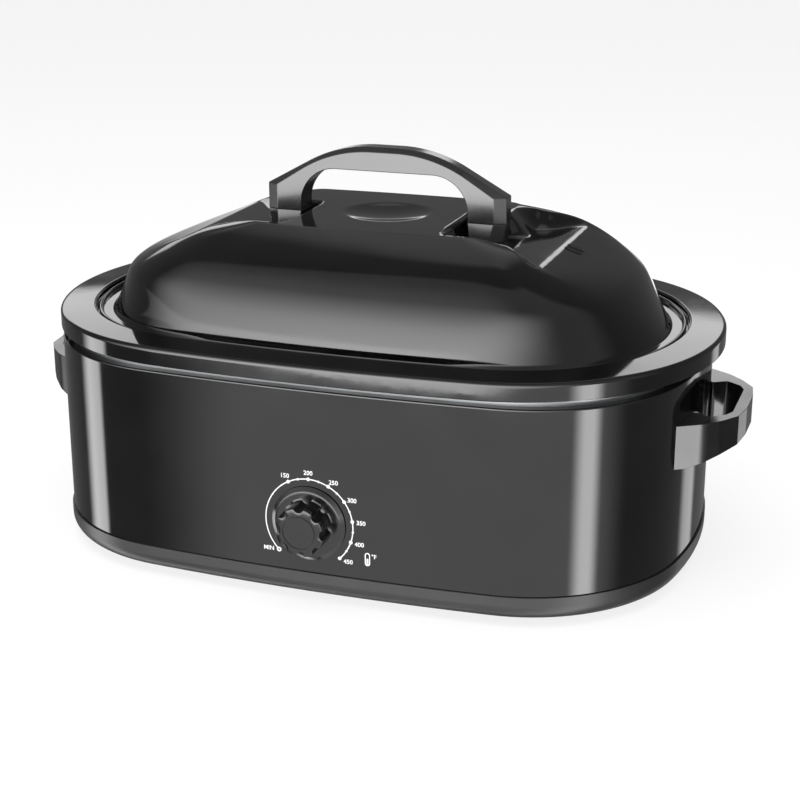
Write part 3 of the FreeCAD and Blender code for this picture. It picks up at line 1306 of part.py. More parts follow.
problems = []
for thing in doc.Objects:
    if "Invalid" in thing.State or "Error" in thing.State:
        problems.append(f"{thing.Name}: {thing.State}")
for label, thing in NODES.items():
    if thing.Shape.isNull() or not thing.Shape.isValid() or not thing.Shape.Solids:
        problems.append(f"{label}: bad shape")
if problems:
    raise RuntimeError("; ".join(problems))

os.makedirs("parts", exist_ok=True)
for label, thing in NODES.items():
    thing.Shape.exportStep(f"parts/{label}.step")
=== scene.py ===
"""Electric roaster oven: its looks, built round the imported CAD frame.

Sizes in this file are millimetres until a piece's mesh is made.
"""

import logging
import math
from dataclasses import dataclass, field
from enum import Enum
from typing import Callable, Sequence

import bmesh
import bpy
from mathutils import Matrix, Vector


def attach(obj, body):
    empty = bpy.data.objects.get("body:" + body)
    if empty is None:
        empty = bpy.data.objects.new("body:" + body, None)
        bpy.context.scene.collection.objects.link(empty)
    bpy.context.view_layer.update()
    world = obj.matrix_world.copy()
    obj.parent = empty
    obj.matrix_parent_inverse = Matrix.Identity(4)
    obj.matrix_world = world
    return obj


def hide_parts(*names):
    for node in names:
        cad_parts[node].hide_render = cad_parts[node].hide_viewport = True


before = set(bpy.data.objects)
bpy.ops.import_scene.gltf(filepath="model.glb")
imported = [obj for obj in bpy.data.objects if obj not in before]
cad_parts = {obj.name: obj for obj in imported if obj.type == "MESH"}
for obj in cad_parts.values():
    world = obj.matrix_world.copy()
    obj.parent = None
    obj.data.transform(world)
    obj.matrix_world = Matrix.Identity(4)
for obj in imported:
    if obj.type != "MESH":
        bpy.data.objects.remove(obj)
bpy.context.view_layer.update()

LOG = logging.getLogger("roaster")
MM = 0.001
Pair = tuple[float, float]
Triple = tuple[float, float, float]
Window = tuple[float, float, float, float]

# In a rounded run: the most of a side that one corner may take, how far past a rounding its flat is
# held (a share of the rounding's reach, and a little more), and the shortest hold worth a point.
MOST_OF_SIDE = 0.49
HOLD_SHARE = 0.5
HOLD_MORE = 0.2
SHORTEST_HOLD = 0.02


# ------------------------------------------------------------------ small tools
def srgb(code: str) -> tuple[float, float, float, float]:
    """Turn a hex colour into Blender's linear values.

    Args:
        code: a colour such as "#1a1a1b".

    Returns:
        Linear red, green and blue, with an alpha of 1.
    """
    parts = [int(code[i:i + 2], 16) / 255 for i in (1, 3, 5)]
    linear = [c / 12.92 if c <= 0.04045 else ((c + 0.055) / 1.055) ** 2.4 for c in parts]
    return (linear[0], linear[1], linear[2], 1.0)


def add_node(tree: bpy.types.NodeTree, kind: str, settings: dict | None = None,
             inputs: dict | None = None) -> bpy.types.Node:
    """Add one node, set it up and link what feeds it.

    Args:
        tree: the node tree.
        kind: the node's type name.
        settings: attributes to set.
        inputs: per input name or index, a value, or the output that feeds it.

    Returns:
        The new node.
    """
    node = tree.nodes.new(kind)
    for key, value in (settings or {}).items():
        setattr(node, key, value)
    for key, value in (inputs or {}).items():
        if isinstance(value, bpy.types.NodeSocket):
            tree.links.new(value, node.inputs[key])
        else:
            node.inputs[key].default_value = value
    return node


def blank_material(name: str) -> bpy.types.Material:
    """A new material with no nodes yet.

    Args:
        name: the name of what it is made of.

    Returns:
        The material.
    """
    made = bpy.data.materials.new(name)
    made.use_nodes = True
    made.node_tree.nodes.clear()
    return made


def put_in_scene(name: str, data: bpy.types.ID) -> bpy.types.Object:
    """A new object in the scene for a mesh, a text, a lamp or a camera.

    Args:
        name: the object's name.
        data: what it shows.

    Returns:
        The object.
    """
    thing = bpy.data.objects.new(name, data)
    bpy.context.scene.collection.objects.link(thing)
    return thing


def finished_mesh(thing: bpy.types.Object) -> bpy.types.Mesh:
    """A new mesh of an object, as its modifiers or its text leave it."""
    state = bpy.context.evaluated_depsgraph_get()
    return bpy.data.meshes.new_from_object(thing.evaluated_get(state))


def arc(centre: Pair, radius: float, first: float, last: float, steps: int) -> list[Pair]:
    """Points along an arc from one angle to another, in radians, with both ends."""
    angles = [first + (last - first) * step / steps for step in range(steps + 1)]
    return [(centre[0] + radius * math.cos(angle), centre[1] + radius * math.sin(angle))
            for angle in angles]


def smooth_step(low: float, high: float, value: float) -> float:
    """Ease from 0 at low to 1 at high."""
    share = min(1.0, max(0.0, (value - low) / (high - low)))
    return share * share * (3 - 2 * share)


def soft_min(one: float, other: float, blend: float) -> float:
    """The smaller of two heights, rounded where they meet within blend."""
    near = max(blend - abs(one - other), 0.0) / blend
    return min(one, other) - near * near * blend / 4


def held(corner: Vector, side: Vector, reach: float) -> list[Pair]:
    """A point on the straight just past a rounding, where the straight has room for one."""
    hold = min(reach * HOLD_SHARE + HOLD_MORE, side.length * MOST_OF_SIDE - reach)
    return [tuple(corner + side.normalized() * (reach + hold))] if hold > SHORTEST_HOLD else []


def rounded(corners: Sequence[Triple], closed: bool = False, steps: int = 4) -> list[Pair]:
    """Round the corners of a run of straight lines.

    A point is kept on the straight just before and after each rounding, so that the shading of
    the rounding doesn't spread over the flat beside it.

    Args:
        corners: the corners, each with the radius that it gets.
        closed: whether the last corner joins the first.
        steps: how many edges each rounding has.

    Returns:
        The points of the rounded run.
    """
    points: list[Pair] = []
    count = len(corners)
    for index, (across, up, radius) in enumerate(corners):
        here = Vector((across, up))
        if radius <= 0 or (not closed and index in (0, count - 1)):
            points.append((across, up))
            continue
        before = Vector(corners[index - 1][:2]) - here
        after = Vector(corners[(index + 1) % count][:2]) - here
        half = before.angle(after) / 2
        reach = min(radius / math.tan(half), before.length * MOST_OF_SIDE, after.length * MOST_OF_SIDE)
        inwards = (before.normalized() + after.normalized()).normalized()
        centre = here + inwards * (reach / math.cos(half))
        start = here + before.normalized() * reach - centre
        stop = here + after.normalized() * reach - centre
        points += held(here, before, reach)
        for step in range(steps + 1):
            spoke = start.slerp(stop, step / steps).normalized() * start.length
            points.append((centre.x + spoke.x, centre.y + spoke.y))
        points += held(here, after, reach)
    return points


class Curve:
    """A smooth line through stations that never overshoots them."""

    def __init__(self, places: Sequence[float], values: Sequence[float]) -> None:
        """Work out the slope at each station.

        Args:
            places: the stations, rising.
            values: the value at each.
        """
        self.places, self.values = list(places), list(values)
        gaps = [b - a for a, b in zip(places, places[1:])]
        rises = [(b - a) / gap for a, b, gap in zip(values, values[1:], gaps)]
        self.slopes = [rises[0]]
        for i in range(1, len(rises)):
            if rises[i - 1] * rises[i] <= 0:
                self.slopes.append(0.0)
                continue
            one, other = 2 * gaps[i] + gaps[i - 1], gaps[i] + 2 * gaps[i - 1]
            self.slopes.append((one + other) / (one / rises[i - 1] + other / rises[i]))
        self.slopes.append(rises[-1])

    def at(self, place: float) -> float:
        """The value at a place between the first and last station.

        Args:
            place: a place between the first and the last station.

        Returns:
            The value there.
        """
        index = max(i for i, p in enumerate(self.places[:-1]) if p <= place or i == 0)
        gap = self.places[index + 1] - self.places[index]
        t = (place - self.places[index]) / gap
        low, high = self.values[index], self.values[index + 1]
        rise, fall = self.slopes[index] * gap, self.slopes[index + 1] * gap
        return (low * (2 * t ** 3 - 3 * t * t + 1) + rise * (t ** 3 - 2 * t * t + t)
                + high * (3 * t * t - 2 * t ** 3) + fall * (t ** 3 - t * t))


@dataclass(frozen=True)
class Outline:
    """A bowed rectangle: two long arcs, two end arcs and four corner arcs, all tangent."""

    half_length: float
    half_depth: float
    side_bow: float
    end_bow: float
    corner: float

    def centres(self) -> tuple[float, float, float, float]:
        """Centres of the end arc (on X), the side arc (on Y) and the corner arc.

        Returns:
            X of the end arc's centre, Y of the side arc's, then X and Y of the corner arc's.
        """
        end_x, side_y = self.half_length - self.end_bow, self.half_depth - self.side_bow
        to_side, to_end = self.side_bow - self.corner, self.end_bow - self.corner
        apart = math.hypot(end_x, side_y)
        along = (to_side ** 2 - to_end ** 2 + apart ** 2) / (2 * apart)
        across = math.sqrt(max(to_side ** 2 - along ** 2, 0.0))
        ux, uy = end_x / apart, -side_y / apart
        found = [(along * ux + s * across * uy, side_y + along * uy - s * across * ux) for s in (1, -1)]
        corner_x, corner_y = max(found, key=lambda point: point[0] + point[1])
        return end_x, side_y, corner_x, corner_y

    def ring(self, inset: float = 0.0, counts: tuple[int, int, int] = (8, 20, 14)) -> list[Pair]:
        """Points round the outline, moved inwards by the same amount everywhere.

        Args:
            inset: how far it is moved inwards.
            counts: edges per quarter on the end arc, the corner arc and the side arc.

        Returns:
            Four times the sum of counts points, anticlockwise from +X.
        """
        end_x, side_y, corner_x, corner_y = self.centres()
        first, last = math.atan2(corner_y, corner_x - end_x), math.atan2(corner_y - side_y, corner_x)
        quarter: list[Pair] = []
        for (low, high), centre, radius, count in (
                ((0.0, first), (end_x, 0.0), self.end_bow, counts[0]),
                ((first, last), (corner_x, corner_y), self.corner, counts[1]),
                ((last, math.pi / 2), (0.0, side_y), self.side_bow, counts[2])):
            quarter += arc(centre, radius - inset, low, high, count)[:-1]
        quarter.append((0.0, self.half_depth - inset))
        there, back = quarter[:-1], quarter[:0:-1]
        return (there + [(-x, y) for x, y in back] + [(-x, -y) for x, y in there]
                + [(x, -y) for x, y in back])


# ------------------------------------------------------------------ finishes
class Grain(Enum):
    """How a surface was made, which decides the relief that it carries."""

    FIRED = "enamel: shallow waves left as the glass flowed"
    MOULDED = "pebble of a spark-eroded mould"
    POLISHED = "polished mould: a trace of flow"
    ROLLED = "fine lines along a rolled sheet"
    DRAWN = "fine lines along a drawn wire"
    WOVEN = "crossing threads"


@dataclass(frozen=True)
class Finish:
    """One material: what it is, its colour and gloss, and the relief of how it was made."""

    name: str
    colour: str
    tint: str
    roughness: float
    grain: Grain
    grain_mm: float
    relief_mm: float
    metallic: float = 0.0
    ior: float = 1.5
    coat: float = 0.0
    coat_roughness: float = 0.03
    roughness_spread: float = 0.03
    patch_mm: float = 45.0

    def relief(self, tree: bpy.types.NodeTree, place: bpy.types.NodeSocket) -> bpy.types.NodeSocket:
        """Draw the relief.

        Args:
            tree: the material's nodes.
            place: the point on the object, in metres.

        Returns:
            The height of the relief, from 0 to 1.
        """
        scale = 1000.0 / self.grain_mm
        if self.grain is Grain.WOVEN:
            threads = [add_node(tree, "ShaderNodeTexWave", {"bands_direction": way},
                                {"Vector": place, "Scale": scale / 20, "Distortion": 0.6}).outputs["Fac"]
                       for way in ("X", "Z")]
            return add_node(tree, "ShaderNodeMath", {"operation": "MAXIMUM"},
                            {0: threads[0], 1: threads[1]}).outputs[0]
        if self.grain in (Grain.ROLLED, Grain.DRAWN):
            stretch = (0.04, 1.0, 1.0) if self.grain is Grain.ROLLED else (0.1, 0.1, 1.0)
            place = add_node(tree, "ShaderNodeMapping", None,
                             {"Vector": place, "Scale": stretch}).outputs["Vector"]
        if self.grain is Grain.MOULDED:
            pebble = add_node(tree, "ShaderNodeTexVoronoi", {"feature": "SMOOTH_F1"},
                              {"Vector": place, "Scale": scale, "Smoothness": 0.6}).outputs["Distance"]
            flow = add_node(tree, "ShaderNodeTexNoise", None,
                            {"Vector": place, "Scale": scale * 0.4, "Detail": 3.0}).outputs["Fac"]
            return add_node(tree, "ShaderNodeMath", {"operation": "MULTIPLY"},
                            {0: pebble, 1: flow}).outputs[0]
        detail = 1.0 if self.grain is Grain.FIRED else 3.0
        return add_node(tree, "ShaderNodeTexNoise", None,
                        {"Vector": place, "Scale": scale, "Detail": detail}).outputs["Fac"]

    def material(self) -> bpy.types.Material:
        """The Blender material, made the first time that it is asked for.

        Returns:
            The material, the same one each time.
        """
        made = bpy.data.materials.get(self.name)
        if made is not None:
            return made
        made = blank_material(self.name)
        tree = made.node_tree
        place = add_node(tree, "ShaderNodeTexCoord").outputs["Object"]
        patch = add_node(tree, "ShaderNodeTexNoise", None,
                         {"Vector": place, "Scale": 1000.0 / self.patch_mm, "Detail": 4.0}).outputs["Fac"]
        drift = add_node(tree, "ShaderNodeMapRange", None,
                         {"Value": patch, "From Min": 0.35, "From Max": 0.65}).outputs["Result"]
        colour = add_node(tree, "ShaderNodeMix", {"data_type": "RGBA"},
                          {0: drift, 6: srgb(self.colour), 7: srgb(self.tint)}).outputs[2]
        gloss = add_node(tree, "ShaderNodeMapRange", None,
                         {"Value": patch, "From Min": 0.3, "From Max": 0.7,
                          "To Min": max(self.roughness - self.roughness_spread, 0.02),
                          "To Max": self.roughness + self.roughness_spread}).outputs["Result"]
        bump = add_node(tree, "ShaderNodeBump", None,
                        {"Strength": 1.0, "Distance": self.relief_mm * MM,
                         "Height": self.relief(tree, place)}).outputs["Normal"]
        settings = {"Base Color": colour, "Roughness": gloss, "Normal": bump,
                    "Metallic": self.metallic, "Coat Weight": self.coat,
                    "Coat Roughness": self.coat_roughness}
        if self.metallic == 0.0:
            settings["IOR"] = self.ior
        shader = add_node(tree, "ShaderNodeBsdfPrincipled", None, settings)
        add_node(tree, "ShaderNodeOutputMaterial", None, {"Surface": shader.outputs["BSDF"]})
        made.diffuse_color = srgb(self.colour)
        return made


# Vitreous (glass) enamel fired on pressed steel: near-black glass with a faint orange peel, so it mirrors
# the studio and its highlights waver a little.
SHELL_ENAMEL = Finish("Enamel_black_fired_shell", "#0a0a0b", "#0e0e0f", 0.06, Grain.FIRED, 7.0, 0.006)
LID_ENAMEL = Finish("Enamel_black_fired_lid", "#060607", "#0a0a0b", 0.07, Grain.FIRED, 9.0, 0.006)
PAN_ENAMEL = Finish("Enamel_black_fired_pan", "#070708", "#0c0c0d", 0.06, Grain.FIRED, 7.0, 0.008)
# Glass-filled polypropylene, moulded in a textured tool: matt dark grey with a fine pebble.
BASE_PLASTIC = Finish("Polypropylene_moulded_base", "#1d1d1e", "#222223", 0.4, Grain.MOULDED, 1.6, 0.03)
# Phenolic (bakelite), pressed in a polished tool: black and glossy, softer than the enamel.
HANDLE_PLASTIC = Finish("Phenolic_polished_end_handle", "#0b0b0c", "#111112", 0.17, Grain.POLISHED, 6.0,
                        0.004)
# The lid's handle is the same phenolic from a satin tool, so its broad faces spread the light.
GRIP_PLASTIC = Finish("Phenolic_satin_lid_handle", "#1c1c1d", "#202021", 0.2, Grain.POLISHED, 2.5, 0.004,
                      ior=1.52, coat=0.3, coat_roughness=0.12)
# Phenolic knob, polished: crisp streaks down the flutes.
KNOB_PLASTIC = Finish("Phenolic_polished_knob", "#0b0b0c", "#0e0e0f", 0.16, Grain.POLISHED, 4.0, 0.004)
# White ink, screen printed and cured: flat and even, a little uneven at the edge of a stroke.
PRINT_INK = Finish("Ink_white_screen_printed", "#f4f4f2", "#eaeae8", 0.5, Grain.MOULDED, 0.6, 0.004)

# The finish of each of the record's material slots, for the pieces carried over from the frame.
CARRIED = {
    "base_plastic": BASE_PLASTIC,
    "shell_enamel": SHELL_ENAMEL,
    "pan_enamel": PAN_ENAMEL,
    "lid_enamel": LID_ENAMEL,
    "handle_plastic": HANDLE_PLASTIC,
    "knob_plastic": KNOB_PLASTIC,
    # Aluminised steel, rolled and drawn: grey-white with lines along the sheet.
    "well_steel": Finish("Steel_aluminised_rolled_well", "#9a9c9e", "#868889", 0.34, Grain.ROLLED, 1.2,
                         0.01, metallic=1.0, roughness_spread=0.06),
    # Mill-finish aluminium sheet: bright, soft streaks.
    "shield_aluminium": Finish("Aluminium_rolled_shield", "#b9bbbd", "#a8aaac", 0.28, Grain.ROLLED, 0.9,
                               0.008, metallic=1.0),
    # Mica-faced band in stainless, blued by heat in places.
    "heater_steel": Finish("Stainless_rolled_heater_band", "#8d8a86", "#7a726a", 0.36, Grain.ROLLED, 0.8,
                           0.008, metallic=1.0),
    # Stamped brass: yellow, with the rolling lines of its strip.
    "terminal_brass": Finish("Brass_stamped_terminal", "#b8974f", "#9c7d3c", 0.3, Grain.ROLLED, 0.6,
                             0.006, metallic=1.0),
    # Needled glass fibre: off-white threads, dull.
    "glass_fibre": Finish("Glass_fibre_needled_blanket", "#cfcabc", "#b8b2a2", 0.85, Grain.WOVEN, 3.0, 0.4),
    # Zinc-plated steel: cool grey, slightly rough.
    "screw_steel": Finish("Steel_zinc_plated_screw", "#b4b7ba", "#9fa2a5", 0.3, Grain.DRAWN, 0.5,
                          0.006, metallic=1.0),
    # Phenolic block, matt brown-black.
    "moulded_block": Finish("Phenolic_moulded_block", "#241d19", "#2c2420", 0.45, Grain.MOULDED, 0.9, 0.02),
    # Zinc-plated steel sheet: a shade darker and duller than the screws.
    "bracket_steel": Finish("Steel_zinc_plated_bracket", "#a9acae", "#94979a", 0.33, Grain.ROLLED, 0.7,
                            0.008, metallic=1.0),
    # Drawn copper tube, browned by heat: warm and half glossy.
    "capillary_copper": Finish("Copper_drawn_capillary", "#b8714a", "#8f5434", 0.3, Grain.DRAWN, 0.6,
                               0.005, metallic=1.0),
    # Nylon strain relief: satin black.
    "gland_plastic": Finish("Nylon_moulded_gland", "#151516", "#1b1b1c", 0.4, Grain.MOULDED, 0.8, 0.015),
    # Silicone-varnished glass sleeve: white with a weave.
    "lead_sleeve": Finish("Glass_sleeve_woven_lead", "#d8d4c8", "#c4bfb1", 0.55, Grain.WOVEN, 1.0, 0.06),
    # Silicone rubber foot: matt, almost black.
    "foot_rubber": Finish("Rubber_moulded_foot", "#161616", "#1f1f1f", 0.75, Grain.MOULDED, 0.9, 0.03),
    # Turned brass rod: yellow, with the fine marks of the tool.
    "shaft_brass": Finish("Brass_turned_shaft", "#bf9c52", "#a58240", 0.26, Grain.DRAWN, 0.4,
                          0.004, metallic=1.0),
    # Nickel-chrome plate over wire: bright, fine drawing lines show through.
    "rack_chrome": Finish("Steel_chrome_plated_rack", "#c9cbce", "#b9bbbf", 0.14, Grain.DRAWN, 0.8,
                          0.004, metallic=1.0),
}


# ------------------------------------------------------------------ meshes
class Form:
    """Points and faces of one piece, in millimetres, until it becomes a mesh."""

    def __init__(self, name: str) -> None:
        """Start an empty form with the name that the piece will have.

        Args:
            name: the name that the piece will have.
        """
        self.name = name
        self.points: list[Vector] = []
        self.faces: list[list[int]] = []

    def add(self, points: Sequence[Sequence[float]]) -> list[int]:
        """Add points and return their numbers.

        Args:
            points: the points, in millimetres.

        Returns:
            Their numbers.
        """
        start = len(self.points)
        self.points.extend(Vector(point) for point in points)
        return list(range(start, len(self.points)))

    def bridge(self, low: Sequence[int], high: Sequence[int], closed: bool = True) -> None:
        """Join two runs of points, equal in number, with four-sided faces.

        Args:
            low: the point numbers of one run.
            high: the point numbers of the other.
            closed: whether each run is a ring.
        """
        count = len(low)
        for i in range(count if closed else count - 1):
            j = (i + 1) % count
            self.faces.append([low[i], low[j], high[j], high[i]])

    def skin(self, rings: Sequence[Sequence[Sequence[float]]], loop: bool = False,
             caps: bool = False) -> list[list[int]]:
        """Cover a run of rings.

        Args:
            rings: the rings, each with the same number of points.
            loop: whether the last ring joins the first.
            caps: whether the first and last rings are filled.

        Returns:
            The point numbers of each ring.
        """
        numbers = [self.add(ring) for ring in rings]
        for low, high in zip(numbers, numbers[1:]):
            self.bridge(low, high)
        if loop:
            self.bridge(numbers[-1], numbers[0])
        if caps:
            self.faces.append(list(reversed(numbers[0])))
            self.faces.append(list(numbers[-1]))
        return numbers

    def close_to(self, ring: Sequence[int], point: Sequence[float]) -> None:
        """Fill a ring with a fan to one point.

        Args:
            ring: the point numbers of the ring.
            point: the point that the fan meets in.
        """
        middle = self.add([point])[0]
        for i, here in enumerate(ring):
            self.faces.append([here, ring[(i + 1) % len(ring)], middle])

    def mesh(self) -> bpy.types.Mesh:
        """The mesh in metres, its doubled points merged and its faces turned outwards.

        Returns:
            The mesh.
        """
        made = bpy.data.meshes.new(self.name)
        made.from_pydata([point * MM for point in self.points], [], self.faces)
        work = bmesh.new()
        work.from_mesh(made)
        bmesh.ops.remove_doubles(work, verts=work.verts, dist=1e-6)
        bmesh.ops.recalc_face_normals(work, faces=work.faces)
        work.to_mesh(made)
        work.free()
        return made


@dataclass(frozen=True)
class Bevel:
    """A rounded edge: its width, its steps and how sharp an edge has to be to get it."""

    width: float
    steps: int = 3
    angle: float = 24.0

    def put_on(self, piece: bpy.types.Object) -> None:
        """Round the piece's sharp edges with a modifier.

        Args:
            piece: the object that is rounded.
        """
        edge = piece.modifiers.new("edges", "BEVEL")
        edge.width, edge.segments = self.width * MM, self.steps
        edge.limit_method, edge.angle_limit = "ANGLE", math.radians(self.angle)
        edge.harden_normals = True


def place_piece(mesh: bpy.types.Mesh, body: str, finish: Finish,
                replaces: Sequence[str] = (), sharp: float = 32.0,
                bevel: Bevel | None = None) -> bpy.types.Object:
    """Put a finished mesh into the scene as a piece of the object.

    Args:
        mesh: the mesh, in metres.
        body: the moving body that carries it.
        finish: its material.
        replaces: the frame's nodes that it stands for.
        sharp: edges that turn more than this, in degrees, stay crisp.
        bevel: the rounding of its edges.

    Returns:
        The new object.
    """
    piece = put_in_scene(mesh.name, mesh)
    mesh.materials.clear()
    mesh.materials.append(finish.material())
    mesh.shade_smooth()
    if bevel is None:
        mesh.set_sharp_from_angle(angle=math.radians(sharp))
    else:
        bevel.put_on(piece)
    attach(piece, body)
    if replaces:
        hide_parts(*replaces)
    LOG.info("%s: %d points, on %s", mesh.name, len(mesh.vertices), body)
    return piece


# ------------------------------------------------------------------ pan and shell
# the outer edge of the pan's rim, and the body's wall
RIM = Outline(280.0, 185.4, 1458.7, 202.0, 161.9)
SHELL = Outline(268.7, 180.3, 1855.0, 364.0, 132.5)


def lofted(name: str, outline: Outline, profile: Sequence[Pair], loop: bool,
           counts: tuple[int, int, int] = (10, 30, 18)) -> Form:
    """A sheet that follows an outline with the same section all round.

    Args:
        name: the piece's name.
        outline: the outline that it follows.
        profile: the section, as distances in from the outline and heights.
        loop: whether the section closes on itself; if not, its two ends are filled.
        counts: edges per quarter on the end, the corner and the side.

    Returns:
        The covered form.
    """
    form = Form(name)
    rings = [[(x, y, up) for x, y in outline.ring(inset, counts)] for inset, up in profile]
    form.skin(rings, loop=loop, caps=not loop)
    return form


@dataclass
class InsertPan:
    """The lift-out pan: a drawn basin with a ledge for the lid and a broad rolled rim."""

    floor: float = 45.0
    sheet: float = 1.2
    floor_rounding: float = 24.0
    wall_top_inset: float = 57.2
    wall_foot_inset: float = 66.4
    ledge: float = 187.5
    ledge_inset: float = 30.4
    step: float = 190.2
    step_width: float = 1.5
    top: float = 193.0
    flat_inset: float = 28.6
    fall: float = 1.4
    edge_rounding: float = 2.4
    skirt_foot: float = 178.8
    hem: float = 1.2

    def profile(self) -> list[Pair]:
        """The section from the middle of the floor over the rim and back under it.

        Returns:
            Distances in from the rim and heights.
        """
        inside_floor = self.floor + self.sheet
        centre_inset = self.wall_foot_inset + self.floor_rounding + 4.0
        top_under = self.top - self.sheet
        inside = [(centre_inset, inside_floor, 0.0),
                  (self.wall_foot_inset, inside_floor, self.floor_rounding),
                  (self.wall_top_inset, self.ledge, 1.6), (self.ledge_inset, self.ledge, 0.5),
                  (self.ledge_inset, self.step, 0.5),
                  (self.ledge_inset - self.step_width, self.step, 0.3),
                  (self.flat_inset, self.top + self.fall, 1.0), (0.0, self.top, self.edge_rounding)]
        under = [(0.0, self.skirt_foot, 0.45), (self.hem, self.skirt_foot, 0.45),
                 (self.hem, top_under, self.edge_rounding - self.hem),
                 (self.flat_inset + 0.6, top_under + self.fall, 0.4),
                 (self.ledge_inset - 0.6, self.ledge - self.sheet, 0.6),
                 (self.wall_top_inset + self.sheet, self.ledge - self.sheet, 1.0),
                 (self.wall_foot_inset + self.sheet, self.floor, self.floor_rounding + self.sheet),
                 (centre_inset, self.floor, 0.0)]
        return rounded(inside + under, steps=6)

    def build(self) -> bpy.types.Object:
        """Make the pan in place of the frame's."""
        form = lofted("insert_pan_enamelled", RIM, self.profile(), loop=False, counts=(14, 40, 24))
        return place_piece(form.mesh(), "insert_pan", PAN_ENAMEL, ["insert_pan"], sharp=50)


@dataclass
class BodyShell:
    """The wrapped body sheet with its lip turned in at the top."""

    foot: float = 25.0
    top: float = 173.0
    sheet: float = 0.8
    lip: float = 12.0
    rounding: float = 0.9

    def profile(self) -> list[Pair]:
        """The closed section of the wall and its lip."""
        under = self.top - self.sheet
        return rounded([(0.0, self.foot, 0.0), (0.0, self.top, self.rounding), (self.lip, self.top, 0.0),
                        (self.lip, under, 0.0), (self.sheet, under, 0.3), (self.sheet, self.foot, 0.0)],
                       closed=True)

    def build(self) -> bpy.types.Object:
        """Make the whole wrap in one, in place of the frame's wrap and rear panel."""
        form = lofted("body_shell_enamelled", SHELL, self.profile(), loop=True, counts=(14, 48, 30))
        return place_piece(form.mesh(), "base", SHELL_ENAMEL,
                           ["outer_shell", "rear_panel"], sharp=50)

    def wall(self, across: float) -> float:
        """Y of the front wall's face at a distance from the middle."""
        return -(SHELL.half_depth - SHELL.side_bow + math.sqrt(SHELL.side_bow ** 2 - across * across))


